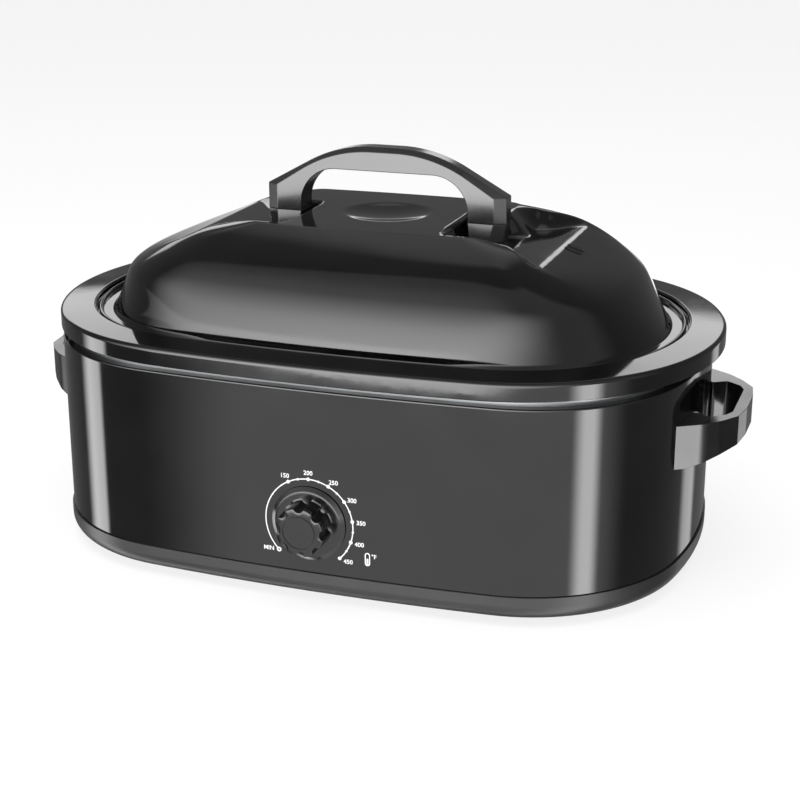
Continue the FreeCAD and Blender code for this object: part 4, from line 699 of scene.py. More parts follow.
# ------------------------------------------------------------------ lid
@dataclass
class Lid:
    """The domed lid: a rolled flange, a bowed dome, and a dished top with a pocket by each foot."""

    flange_inset: float = 31.5
    seat: float = 187.8
    sheet: float = 1.2
    bead_width: float = 3.0
    bead_top: float = 192.4
    flange_end_inset: float = 43.6
    crest: float = 271.7
    # height, half length and half depth of the dome's wall, from the foot up
    levels: tuple[Triple, ...] = (
        (190.4, 235.7, 141.5), (200.0, 229.4, 140.2), (210.0, 223.9, 138.7), (220.0, 218.2, 136.4),
        (230.0, 211.8, 133.0), (238.0, 198.5, 129.4), (247.0, 181.5, 122.6), (256.0, 162.8, 110.7),
        (264.0, 139.7, 94.5), (269.0, 114.4, 81.9), (271.7, 99.0, 74.6))
    side_bow: float = 1414.0
    foot_end_bow: float = 158.0
    crest_end_bow: float = 450.0
    foot_corner: float = 117.0
    crest_corner: float = 14.0
    # the plan goes from the foot's to the crest's with this power of the way up
    crest_pull: float = 1.6
    dome_rings: int = 60
    cap_rings: int = 30
    dish_edge_rings: int = 27
    dish_middle: tuple[float, ...] = (26.0, 22.0, 18.0, 13.0, 8.0, 4.0)
    # how finely the wall is measured, and how often its corners and its slope are eased
    fine_steps: int = 600
    plan_ease: int = 24
    wall_ease: int = 12
    counts: tuple[int, int, int] = (24, 26, 24)
    # below this height the dome is plain
    shaped_from: float = 235.0
    channel_floor: float = 255.0
    channel_rise: float = 16.7
    channel_half: float = 40.0
    channel_spread: float = 34.0
    channel_side: float = 26.0
    channel_flare: Pair = (118.0, 152.0)
    channel_slope: float = 0.34
    slope_start: float = 150.0
    slope_bend: float = 0.6
    ridge_slope: float = 2.18
    ridge_blend: float = 3.5
    plateau: float = 277.0
    # where along the lid the top steps down from the plateau, first by the feet and on the dial's
    # side of them, then behind them, and where across the lid the one gives way to the other
    pocket: Pair = (61.0, 71.5)
    channel_mouth: Pair = (88.0, 116.0)
    pocket_edge: Pair = (14.0, 26.0)
    dished: float = 55.0
    dish_bottom: float = 268.0
    dish_radius: float = 180.0
    dish_blend: float = 0.5
    vent_x: float = 158.0
    vent_y: float = 4.5
    vent_length: float = 11.0
    vent_width: float = 2.4
    vent_cut: Pair = (238.0, 264.0)
    # height of the plain dome at the slots, and the section of their lips: out and up
    vent_dome: float = 262.0
    lip: tuple[Pair, ...] = ((-0.2, -0.5), (-0.2, 0.35), (0.15, 0.85), (0.7, 0.95), (1.3, 0.6), (1.9, -0.5))

    def channel(self, x: float, y: float) -> float:
        """Height of the pressed top: a plateau between the feet, then a channel that widens and dips.

        Args:
            x: the place along the lid.
            y: the place across it.

        Returns:
            The height.
        """
        past = abs(x) - self.slope_start
        by_foot = 1.0 - smooth_step(*self.pocket_edge, y)
        sunk = (smooth_step(*self.pocket, abs(x)) * by_foot
                + smooth_step(*self.channel_mouth, abs(x)) * (1.0 - by_foot))
        floor = (self.channel_floor - self.channel_slope * (past + math.hypot(past, self.slope_bend)) / 2
                 + (self.plateau - self.channel_floor) * (1.0 - sunk))
        half = self.channel_half + self.channel_spread * smooth_step(*self.channel_flare, abs(x))
        side = abs(y) - half
        radius = (self.channel_side ** 2 + self.channel_rise ** 2) / (2 * self.channel_rise)
        if side <= 0:
            return floor
        if side <= self.channel_side:
            return floor + radius - math.sqrt(radius * radius - side * side)
        return floor + self.channel_rise + self.ridge_slope * (side - self.channel_side)

    def dish(self, away: float) -> float:
        """Height of the shallow dish in the middle of the top, at a distance from the middle."""
        return self.dish_bottom + away * away / (2 * self.dish_radius)

    def top(self, x: float, y: float, dome: float) -> float:
        """Height of the lid's top where the plain dome would be at a height.

        Args:
            x: the place along the lid.
            y: the place across it.
            dome: the height of the plain dome there.

        Returns:
            The height with everything pressed into it.
        """
        height = soft_min(dome, self.channel(x, y), self.ridge_blend)
        away = math.hypot(x, y)
        if away < self.dished:
            height = soft_min(height, self.dish(away), self.dish_blend)
        return height

    def eased(self, ring: list[Vector], times: int) -> list[Vector]:
        """A ring with the change from its flat sides to its corners spread out.

        Args:
            ring: the ring.
            times: how often each point is drawn towards its neighbours.

        Returns:
            The new ring.
        """
        for _ in range(times):
            ring = [(ring[i - 1] + 2 * point + ring[(i + 1) % len(ring)]) / 4
                    for i, point in enumerate(ring)]
        return ring

    def wall_levels(self) -> list[Triple]:
        """Height, half length and half depth of the wall's rings, spaced evenly along the wall.

        Returns:
            One entry per ring, from the foot up.
        """
        heights, lengths, depths = zip(*self.levels)
        length, depth = Curve(heights, lengths), Curve(heights, depths)
        rise = heights[-1] - heights[0]
        fine = [heights[0] + rise * i / self.fine_steps for i in range(self.fine_steps + 1)]
        sizes = [(height, length.at(height), depth.at(height)) for height in fine]
        run = [0.0]
        for low, high in zip(sizes, sizes[1:]):
            run.append(run[-1] + math.dist(low, high))
        wanted = [run[-1] * number / self.dome_rings for number in range(self.dome_rings + 1)]
        return [min(zip(run, sizes), key=lambda entry: abs(entry[0] - want))[1] for want in wanted]

    def wall(self) -> list[list[Vector]]:
        """Rings of the dome from its foot to the crest.

        Returns:
            The rings, from the foot up.
        """
        foot, crest = self.levels[0][0], self.levels[-1][0]
        plain: list[list[Vector]] = []
        for height, half_length, half_depth in self.wall_levels():
            share = ((height - foot) / (crest - foot)) ** self.crest_pull
            outline = Outline(half_length, half_depth, self.side_bow,
                              self.foot_end_bow + (self.crest_end_bow - self.foot_end_bow) * share,
                              self.foot_corner + (self.crest_corner - self.foot_corner) * share)
            ring = [Vector((x, y, height)) for x, y in outline.ring(0.0, self.counts)]
            plain.append(self.eased(ring, round(self.plan_ease * (1.0 - share))))
        for _ in range(self.wall_ease):
            plain = [plain[0], *([(low + 2 * here + high) / 4 for low, here, high in zip(*three)]
                                 for three in zip(plain, plain[1:], plain[2:])), plain[-1]]
        return [[Vector((point.x, point.y, self.top(*point) if point.z > self.shaped_from else point.z))
                 for point in ring] for ring in plain]

    def cap(self, crest: Sequence[Vector]) -> list[list[Vector]]:
        """Rings from the crest in to the dish's edge, then in to its middle.

        Args:
            crest: the last ring of the wall.

        Returns:
            The rings, going inwards.
        """
        flat = [Vector((point.x, point.y, 0.0)) for point in crest]
        shares = [number / self.cap_rings for number in range(1, self.cap_rings + 1)]
        radii = [self.dished - step for step in range(1, self.dish_edge_rings + 1)]
        rings = [[spot.lerp(spot.normalized() * self.dished, share) for spot in flat] for share in shares]
        rings += [[spot.normalized() * radius for spot in flat] for radius in (*radii, *self.dish_middle)]
        return [[Vector((spot.x, spot.y, self.top(spot.x, spot.y, self.crest))) for spot in ring]
                for ring in rings]

    def lined(self, rings: Sequence[Sequence[Vector]]) -> list[list[Vector]]:
        """The same rings moved inwards by the sheet's thickness.

        Args:
            rings: the rings of the outer face.

        Returns:
            The rings of the inner face.
        """
        inner = []
        for number, ring in enumerate(rings):
            before, after = rings[max(number - 1, 0)], rings[min(number + 1, len(rings) - 1)]
            count = len(ring)
            inner.append([point - (ring[(i + 1) % count] - ring[i - 1]).cross(after[i] - before[i])
                          .normalized() * self.sheet for i, point in enumerate(ring)])
        return inner

    def flange(self) -> list[list[Triple]]:
        """Rings of the flange: from under the dome's foot, out round the bead and back in.

        Returns:
            The rings, in the order in which they are covered.
        """
        out, back, seat = self.flange_inset, self.flange_inset + self.bead_width, self.seat
        top = seat + self.sheet
        profile = rounded([(self.flange_end_inset + 1.4, seat, 0.0), (out, seat, 0.4),
                           (out, self.bead_top, 1.4), (back, self.bead_top, 1.4), (back + 0.4, top, 0.5),
                           (self.flange_end_inset, top, 1.6), (self.flange_end_inset + 0.3, top + 1.5, 0.0)],
                          steps=5)
        return [[(x, y, up) for x, y in RIM.ring(inset, self.counts)] for inset, up in profile[:-1]]

    def build(self) -> bpy.types.Object:
        """Make the lid in one, in place of the frame's wall and crown.

        Returns:
            The lid.
        """
        form = Form("lid_enamelled")
        wall = self.wall()
        dome = wall + self.cap(wall[-1])
        outer = form.skin([*self.flange(), *dome])
        form.close_to(outer[-1], (0.0, 0.0, self.dish_bottom))
        inner = form.skin(self.lined(dome))
        form.close_to(inner[-1], (0.0, 0.0, self.dish_bottom - self.sheet))
        form.bridge(inner[0], outer[0])
        mesh = self.slotted(form.mesh())
        return place_piece(mesh, "lid", LID_ENAMEL, ["lid_shell", "lid_crown"], sharp=50)

    def stadium(self, grow: float, side: float) -> list[Pair]:
        """Outline of one steam slot, grown by an amount.

        Args:
            grow: how far outside the slot the outline lies.
            side: -1 for the slot in front, 1 for the one behind.

        Returns:
            The outline, as X and Y.
        """
        radius, half = self.vent_width / 2 + grow, (self.vent_length - self.vent_width) / 2
        quarter, y = math.pi / 2, self.vent_y * side
        return (arc((self.vent_x + half, y), radius, -quarter, quarter, 8)
                + arc((self.vent_x - half, y), radius, quarter, 3 * quarter, 8))

    def slotted(self, mesh: bpy.types.Mesh) -> bpy.types.Mesh:
        """Cut the two steam slots through the lid's right end.

        Args:
            mesh: the lid's mesh, in metres.

        Returns:
            The mesh with the slots in it.
        """
        blank = put_in_scene("lid_blank", mesh)
        cutters = []
        for side in (-1, 1):
            form = Form("slot_cutter")
            form.skin([[(x, y, up) for x, y in self.stadium(0.0, side)] for up in self.vent_cut], caps=True)
            cutter = put_in_scene("slot_cutter", form.mesh())
            cut = blank.modifiers.new("slot", "BOOLEAN")
            cut.operation, cut.solver, cut.object = "DIFFERENCE", "EXACT", cutter
            cutters.append(cutter)
        made = finished_mesh(blank)
        made.name = mesh.name + "_slotted"
        for thing in [blank, *cutters]:
            bpy.data.objects.remove(thing)
        return made

    def build_lips(self) -> bpy.types.Object:
        """The raised edge pressed round each steam slot.

        Returns:
            The lips, as one piece.
        """
        form = Form("lid_vent_lips")
        for side in (-1, 1):
            form.skin([[(x, y, self.top(x, y, self.vent_dome) + up) for x, y in self.stadium(grow, side)]
                       for grow, up in self.lip], loop=True)
        return place_piece(form.mesh(), "lid", LID_ENAMEL, sharp=60)


@dataclass
class LidHandle:
    """The arch over the lid and the two tapered feet that it stands on."""

    face: float = 11.8
    middle: float = 6.5
    side_bevel: float = 9.8
    top_bevel: float = 3.5
    half: float = 93.5
    inner: float = 72.0
    floor: float = 255.0
    joint: float = 270.0
    rise: float = 291.0
    top: float = 322.3
    under: float = 306.4
    flat: float = 10.5
    shoulder: float = 115.0
    corner: float = 30.0
    taper: float = 2.5
    # edges along the arch's shoulder and round its inner corner
    shoulder_steps: int = 16
    corner_steps: int = 14

    def section(self, y: float, out: float, up: float) -> list[Triple]:
        """Outline of the arch in an upright plane, its outer edge moved out and up.

        Args:
            y: the plane.
            out: how far the outer edge is moved out.
            up: how far it is moved up.

        Returns:
            The outline.
        """
        half, top = self.half + out, self.top + up
        centre = top - self.shoulder
        run, climb = half - self.flat, self.rise - centre
        turn = math.atan2(climb, run) + math.acos(self.shoulder / math.hypot(run, climb))
        right = [(half, self.joint), (half, self.rise),
                 *arc((self.flat, centre), self.shoulder, turn, math.pi / 2, self.shoulder_steps)]
        bend = (self.inner - self.corner, self.under - self.corner)
        inside = [(self.inner, self.joint), *arc(bend, self.corner, 0.0, math.pi / 2, self.corner_steps)]
        outer = right + [(-x, z) for x, z in reversed(right)]
        inner = [(-x, z) for x, z in inside] + list(reversed(inside))
        return [(x, y, z) for x, z in outer + inner]

    def build(self) -> None:
        """Make the arch and both feet in place of the frame's."""
        form = Form("lid_handle_arch")
        form.skin([self.section(-self.face, 0.0, 0.0),
                   self.section(-self.middle, self.side_bevel, self.top_bevel),
                   self.section(self.middle, self.side_bevel, self.top_bevel),
                   self.section(self.face, 0.0, 0.0)], caps=True)
        place_piece(form.mesh(), "lid", GRIP_PLASTIC, ["lid_handle"], bevel=Bevel(0.7))
        for side, sign in (("left", -1), ("right", 1)):
            foot = Form(f"lid_handle_foot_{side}_block")
            rings = []
            for height, taper in ((self.joint, 0.0), (self.floor, self.taper)):
                inner, outer, face = self.inner + taper, self.half - taper, self.face + taper
                point = outer + self.side_bevel
                rings.append([(x * sign, y, height) for x, y in (
                    (inner, -face), (outer, -face), (point, -self.middle), (point, self.middle),
                    (outer, face), (inner, face))])
            foot.skin(rings, caps=True)
            place_piece(foot.mesh(), "lid", GRIP_PLASTIC,
                        [f"lid_handle_foot_{side}"], bevel=Bevel(0.5))


# ------------------------------------------------------------------ end handles
@dataclass
class EndHandle:
    """A thick flat-topped loop on the end wall, its underside stepping up to the grip bar."""

    top: float = 140.7
    low: float = 105.6
    heel_x: float = 266.8
    waist_x: float = 279.0
    reach: float = 304.0
    waist_low: float = 109.0
    reach_low: float = 118.4
    half_plan: tuple[Triple, ...] = (
        (304.0, 16.0, 14.0), (300.8, 37.8, 2.2), (297.6, 43.0, 9.0), (290.2, 54.0, 22.0),
        (278.4, 66.6, 30.0), (259.6, 78.6, 0.0))
    half_inside: tuple[Triple, ...] = (
        (266.8, 39.0, 2.0), (279.0, 47.0, 3.0), (290.7, 38.4, 5.0), (294.8, 29.1, 5.0))
    # places across the wall that the root follows, how far it is sunk into the wall, how much lower
    # than its underside the loop is before it is carved, and the level stretch behind the heel
    wall_places: tuple[float, ...] = (72.0, 60.0, 48.0)
    sink: float = 0.3
    spare: float = 20.0
    level: float = 1.0

    def plan(self) -> list[Pair]:
        """The right-hand loop seen from above, closed along the wall.

        Returns:
            The outline, as X and Y.
        """
        end = SHELL.half_length - SHELL.end_bow
        near = [(end + math.sqrt(SHELL.end_bow ** 2 - y * y) - self.sink, y, 0.0) for y in self.wall_places]
        rear = [*self.half_plan, *near, *self.half_inside]
        return rounded(rear + [(x, -y, radius) for x, y, radius in reversed(rear)], closed=True, steps=3)

    def carve(self, mesh: bpy.types.Mesh, sign: int) -> None:
        """Cut the underside: level at the heel, then two slopes up to the grip bar.

        Args:
            mesh: the loop's mesh, in metres.
            sign: -1 for the left end, 1 for the right.
        """
        work = bmesh.new()
        work.from_mesh(mesh)
        heel, waist = (self.heel_x, self.low), (self.waist_x, self.waist_low)
        runs = ((heel, (self.heel_x + self.level, self.low)), (heel, waist),
                (waist, (self.reach, self.reach_low)))
        for (x0, z0), (x1, z1) in runs:
            up = Vector((-(z1 - z0) * sign, 0.0, x1 - x0)).normalized()
            bmesh.ops.bisect_plane(work, geom=work.verts[:] + work.edges[:] + work.faces[:],
                                   plane_co=Vector((x0 * sign, 0.0, z0)) * MM, plane_no=up, clear_inner=True)
            open_edges = [edge for edge in work.edges if edge.is_boundary]
            bmesh.ops.holes_fill(work, edges=open_edges, sides=0)
        bmesh.ops.recalc_face_normals(work, faces=work.faces)
        work.to_mesh(mesh)
        work.free()

    def build(self, side: str, sign: int) -> bpy.types.Object:
        """Make one loop in place of the frame's.

        Args:
            side: "left" or "right".
            sign: -1 for the left end, 1 for the right.

        Returns:
            The loop.
        """
        form = Form(f"end_handle_{side}")
        plan = [(x * sign, y) for x, y in self.plan()]
        form.skin([[(x, y, up) for x, y in plan] for up in (self.low - self.spare, self.top)], caps=True)
        mesh = form.mesh()
        self.carve(mesh, sign)
        return place_piece(mesh, "base", HANDLE_PLASTIC, [f"side_handle_{side}"],
                           bevel=Bevel(0.9))


# ------------------------------------------------------------------ control
@dataclass
class Knob:
    """The fluted dial knob with its flared skirt and grooved cap."""

    height: float = 66.0
    back: float = -180.9
    skirt_radius: float = 30.0
    skirt_front_radius: float = 26.6
    skirt_depth: float = 2.4
    grip_radius: float = 19.7
    grip_depth: float = 17.8
    flutes: int = 8
    flute_radius: float = 4.0
    flute_bite: float = 3.2
    cap_radius: float = 13.2
    hollow_radius: float = 13.0
    hollow_depth: float = 6.0
    points: int = 256
    # the skirt: how far along its slope each ring lies, and how far it is drawn in
    skirt_rings: tuple[Pair, ...] = ((0.8, 0.0), (0.93, 0.1), (1.0, 0.5))
    skirt_edge: float = 0.3
    skirt_face: Pair = (24.5, 22.0)
    # the grip's foot and its crown: how far each ring is drawn in, and how far out from the skirt's
    # face, or back from the knob's front, it lies
    foot_rings: tuple[Pair, ...] = ((-0.9, 0.0), (-0.3, 0.25), (0.0, 0.9))
    grip_shares: tuple[float, ...] = (0.25, 0.5, 0.75)
    crown_rings: tuple[Pair, ...] = ((0.0, 0.8), (0.12, 0.4), (0.4, 0.12), (0.8, 0.0))
    # the cap: how far outside its radius each ring lies, and how deep, then its flat middle
    cap_rings: tuple[Pair, ...] = ((0.9, 0.0), (0.0, 0.0), (-0.12, 0.6), (-0.48, 0.6), (-0.6, 0.0))
    cap_middle: Pair = (9.0, 4.0)

    def grip(self, angle: float, shrink: float) -> float:
        """Radius of the fluted grip in a direction, drawn in by an amount.

        Args:
            angle: the direction, in radians.
            shrink: how far the grip is drawn in.

        Returns:
            The radius.
        """
        pitch = 2 * math.pi / self.flutes
        turn = (angle + pitch / 2) % pitch - pitch / 2
        full, bore = self.grip_radius - shrink, self.flute_radius + shrink * 0.6
        centre = self.grip_radius + self.flute_radius - self.flute_bite
        off = centre * math.sin(turn)
        if abs(off) >= bore:
            return full
        return soft_min(full, centre * math.cos(turn) - math.sqrt(bore * bore - off * off), 0.9)

    def build(self) -> bpy.types.Object:
        """Make the knob in place of the frame's.

        Returns:
            The knob.
        """
        form = Form("control_knob_fluted")
        face = self.back - self.skirt_depth
        front = face - self.grip_depth
        stages: list[tuple[Callable[[float], float], float]] = []

        def plain(radius: float, y: float) -> None:
            """Add a round ring."""
            stages.append((lambda angle: radius, y))

        def fluted(shrink: float, y: float) -> None:
            """Add a ring of the fluted grip."""
            stages.append((lambda angle: self.grip(angle, shrink), y))

        plain(self.hollow_radius, self.back - self.hollow_depth)
        plain(self.hollow_radius, self.back)
        plain(self.skirt_radius - self.skirt_edge, self.back)
        plain(self.skirt_radius, self.back - self.skirt_edge)
        for share, inset in self.skirt_rings:
            radius = self.skirt_radius + (self.skirt_front_radius - self.skirt_radius) * share - inset
            plain(radius, self.back - self.skirt_depth * min(share + inset * 0.02, 1.0))
        for radius in self.skirt_face:
            plain(radius, face)
        for shrink, out in self.foot_rings:
            fluted(shrink, face - out)
        for share in self.grip_shares:
            fluted(0.0, face - self.grip_depth * share)
        for shrink, back in self.crown_rings:
            fluted(shrink, front + back)
        for out, deep in self.cap_rings:
            plain(self.cap_radius + out, front + deep)
        for radius in self.cap_middle:
            plain(radius, front)
        angles = [2 * math.pi * step / self.points for step in range(self.points)]
        rings = [[(radius_at(angle) * math.sin(angle), y, self.height + radius_at(angle) * math.cos(angle))
                  for angle in angles] for radius_at, y in stages]
        form.skin(rings, caps=True)
        return place_piece(form.mesh(), "dial", KNOB_PLASTIC, ["control_knob"], sharp=38)


@dataclass
class DialScale:
    """The printed temperature scale round the knob, laid on the front wall."""

    shell: BodyShell = field(default_factory=BodyShell)
    height: float = 66.0
    radius: float = 35.9
    line: float = 0.85
    proud: float = 0.06
    figure: float = 3.5
    # figure, angle clockwise from the top, and the place of its middle from its dot
    figures: tuple[tuple[str, float, float, float], ...] = (
        ("MIN", -135.0, -8.6, 0.3), ("150", -27.5, -2.8, 4.8), ("200", 0.0, 0.0, 5.1),
        ("250", 27.0, 4.2, 3.6), ("300", 54.0, 6.2, 1.9), ("350", 81.0, 6.9, -0.2),
        ("400", 108.5, 6.9, -1.0), ("450", 136.0, 6.9, -1.9))
    big_dot: float = 1.45
    small_dot: float = 0.95
    ring_out: float = 1.9
    ring_in: float = 0.8
    # the edges of the scale's line, and how far it runs into the open ring, in degrees
    line_edges: int = 90
    line_overlap: float = 0.4
    # the thermometer: its middle, its half width outside and inside, half its straight height, and
    # both halves again for the column in it
    thermometer: Pair = (47.4, 42.3)
    glass: Pair = (2.1, 1.35)
    glass_half: float = 3.3
    mercury: Pair = (0.75, 1.9)
    unit: Pair = (52.6, 45.2)
    unit_figure: float = 3.4
    # height of a capital as a share of the type's size, and how much bolder the strokes are
    capital: float = 0.7
    bolder: float = 0.02

    def spot(self, angle: float, radius: float) -> Pair:
        """X and Z of a place on the scale, by its angle clockwise from the top."""
        turn = math.radians(angle)
        return radius * math.sin(turn), self.height + radius * math.cos(turn)

    def laid(self, x: float, z: float, lift: float) -> Triple:
        """A point of the print, on the wall and lifted off it."""
        return (x, self.shell.wall(x) - lift, z)

    def edges(self, form: Form, edge: Sequence[Pair]) -> tuple[list[int], list[int]]:
        """Add the front and the rear edge of a printed shape and return their point numbers."""
        return (form.add([self.laid(x, z, self.proud) for x, z in edge]),
                form.add([self.laid(x, z, 0.0) for x, z in edge]))

    def patch(self, form: Form, outline: Sequence[Pair], hole: Sequence[Pair] | None = None) -> None:
        """Add one flat printed shape, with its small thickness.

        Args:
            form: the form that it is added to.
            outline: its edge, as X and Z.
            hole: the edge of a hole in it, with as many points.
        """
        front, rear = self.edges(form, outline)
        form.bridge(rear, front)
        if hole is None:
            form.faces.append(front)
            form.faces.append(list(reversed(rear)))
            return
        front_hole, rear_hole = self.edges(form, hole)
        form.bridge(front, front_hole)
        form.bridge(front_hole, rear_hole)
        form.bridge(rear_hole, rear)

    def disc(self, centre: Pair, radius: float) -> list[Pair]:
        """Points of a circle."""
        return arc(centre, radius, 0.0, 2 * math.pi, 28)[:-1]

    def pill(self, centre: Pair, radius: float, half: float) -> list[Pair]:
        """Points of an upright shape with round ends."""
        x, z = centre
        return (arc((x, z + half), radius, 0.0, math.pi, 12)
                + arc((x, z - half), radius, math.pi, 2 * math.pi, 12))

    def band(self, form: Form, first: float, last: float, steps: int) -> None:
        """Add a piece of the scale's line between two angles.

        Args:
            form: the form that it is added to.
            first: the angle that it starts at, clockwise from the top.
            last: the angle that it ends at.
            steps: its edges.
        """
        outer, inner = self.radius + self.line / 2, self.radius - self.line / 2
        angles = [first + (last - first) * i / steps for i in range(steps + 1)]
        edge = [self.spot(a, outer) for a in angles] + [self.spot(a, inner) for a in reversed(angles)]
        front, rear = self.edges(form, edge)
        form.bridge(rear, front)
        count = len(edge)
        for i in range(steps):
            form.faces.append([front[i], front[i + 1], front[count - 2 - i], front[count - 1 - i]])
            form.faces.append([rear[i], rear[count - 1 - i], rear[count - 2 - i], rear[i + 1]])

    def build_marks(self) -> bpy.types.Object:
        """The line, its dots, the open ring at the lowest setting and the thermometer.

        Returns:
            The marks, as one piece.
        """
        form = Form("dial_scale_marks")
        angles = [entry[1] for entry in self.figures]
        start = angles[0] + math.degrees(self.ring_out / self.radius) - self.line_overlap
        self.band(form, start, angles[-1], self.line_edges)
        for angle in angles[1:]:
            self.patch(form, self.disc(self.spot(angle, self.radius), self.big_dot))
        for low, high in zip(angles[1:], angles[2:]):
            self.patch(form, self.disc(self.spot((low + high) / 2, self.radius), self.small_dot))
        ring = self.spot(angles[0], self.radius)
        self.patch(form, self.disc(ring, self.ring_out), self.disc(ring, self.ring_in))
        x, z = self.thermometer
        self.patch(form, *(self.pill((x, z), radius, self.glass_half) for radius in self.glass))
        self.patch(form, self.pill((x, z - self.mercury[1]), *self.mercury))
        return place_piece(form.mesh(), "base", PRINT_INK, sharp=60)

    def words(self, text: str, size: float, centre: Pair) -> None:
        """Print a figure or a word, centred on a place on the wall.

        Args:
            text: what is printed.
            size: the height of its capitals.
            centre: X and Z of its middle.
        """
        line = bpy.data.curves.new(f"print_{text}", "FONT")
        line.body, line.align_x, line.align_y = text, "CENTER", "CENTER"
        line.size, line.extrude, line.resolution_u = size / self.capital, self.proud / 2, 4
        line.offset = self.bolder * size
        holder = put_in_scene(f"print_{text}", line)
        mesh = finished_mesh(holder)
        bpy.data.objects.remove(holder)
        middle = (min(v.co.y for v in mesh.vertices) + max(v.co.y for v in mesh.vertices)) / 2
        for vertex in mesh.vertices:
            x, up, lift = vertex.co
            spot = self.laid(centre[0] + x, centre[1] + up - middle, lift + self.proud / 2)
            vertex.co = Vector(spot) * MM
        mesh.name = "dial_print_" + text.replace("°", "degrees_")
        place_piece(mesh, "base", PRINT_INK, sharp=60)

    def build(self) -> None:
        """Print the whole scale."""
        self.build_marks()
        for text, angle, across, up in self.figures:
            x, z = self.spot(angle, self.radius)
            self.words(text, self.figure, (x + across, z + up))
        self.words("°F", self.unit_figure, self.unit)


# ------------------------------------------------------------------ pieces kept from the frame
@dataclass
class CarriedPieces:
    """The frame's own nodes that stay as they are and get the finish of their slot."""

    bevels: dict[str, Bevel] = field(default_factory=dict)

    def dress(self) -> None:
        """Give every material slot of every node its finish."""
        for name, node in sorted(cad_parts.items()):
            for holder in node.material_slots:
                holder.material = CARRIED[holder.material.name.split(".")[0]].material()
            if name in self.bevels:
                self.bevels[name].put_on(node)
            LOG.info("%s: finish put on", name)


# ------------------------------------------------------------------ studio
@dataclass(frozen=True)
class Lamp:
    """A soft lamp of the studio, by where it stands as seen from the object.

    The four numbers of each direction say where it begins, is full, starts to fade and ends, in
    degrees: round from the lamp's middle, and up from the horizon.
    """

    middle: float
    across: Window
    up: Window
    strength: float


LAMPS = (
    # the wash that fills the room in front and above, and what the walls give back
    Lamp(10.0, (-90.0, -72.0, 75.0, 100.0), (-14.5, -12.5, 73.0, 79.0), 0.45),
    # the large front box, low and left of the middle, and its tall soft spill
    Lamp(-12.0, (-66.0, -2.0, 2.0, 74.0), (-14.5, -12.5, -8.0, 34.0), 8.4),
    Lamp(-30.0, (-38.0, -8.0, 8.0, 60.0), (0.0, 12.0, 26.0, 74.0), 0.9),
    # what the table in front gives the upright wall
    Lamp(16.0, (-54.0, -44.0, 46.0, 74.0), (-90.0, -80.0, -14.5, -12.5), 1.65),
    # the two strips beside the object, which draw the tall highlights on its corners
    Lamp(-82.0, (-17.0, -4.0, 5.0, 10.0), (-90.0, -80.0, -14.5, -12.5), 6.8),
    Lamp(58.5, (-13.0, -2.0, 2.0, 11.0), (-90.0, -80.0, -14.5, -12.5), 10.5),
    # the two boxes behind, either side of the dark card that the flat tops mirror
    Lamp(-141.0, (-11.5, -9.5, 9.0, 14.0), (12.2, 13.2, 20.0, 23.0), 2.4),
    Lamp(-172.5, (-3.4, -1.8, 5.0, 7.0), (13.5, 15.5, 22.0, 24.5), 2.6),
    # the dim upper part of the wall behind
    Lamp(-160.0, (-26.0, -12.0, 12.0, 26.0), (28.0, 36.0, 64.0, 72.0), 0.5),
    # the pale rear horizon that edges the silhouettes, and its narrow low part
    Lamp(186.0, (-9.0, -4.0, 14.0, 26.0), (-14.5, -12.5, 1.0, 6.0), 2.2),
    Lamp(178.0, (-28.0, -23.0, -18.0, -14.0), (-90.0, -80.0, -14.5, -12.5), 1.5),
)


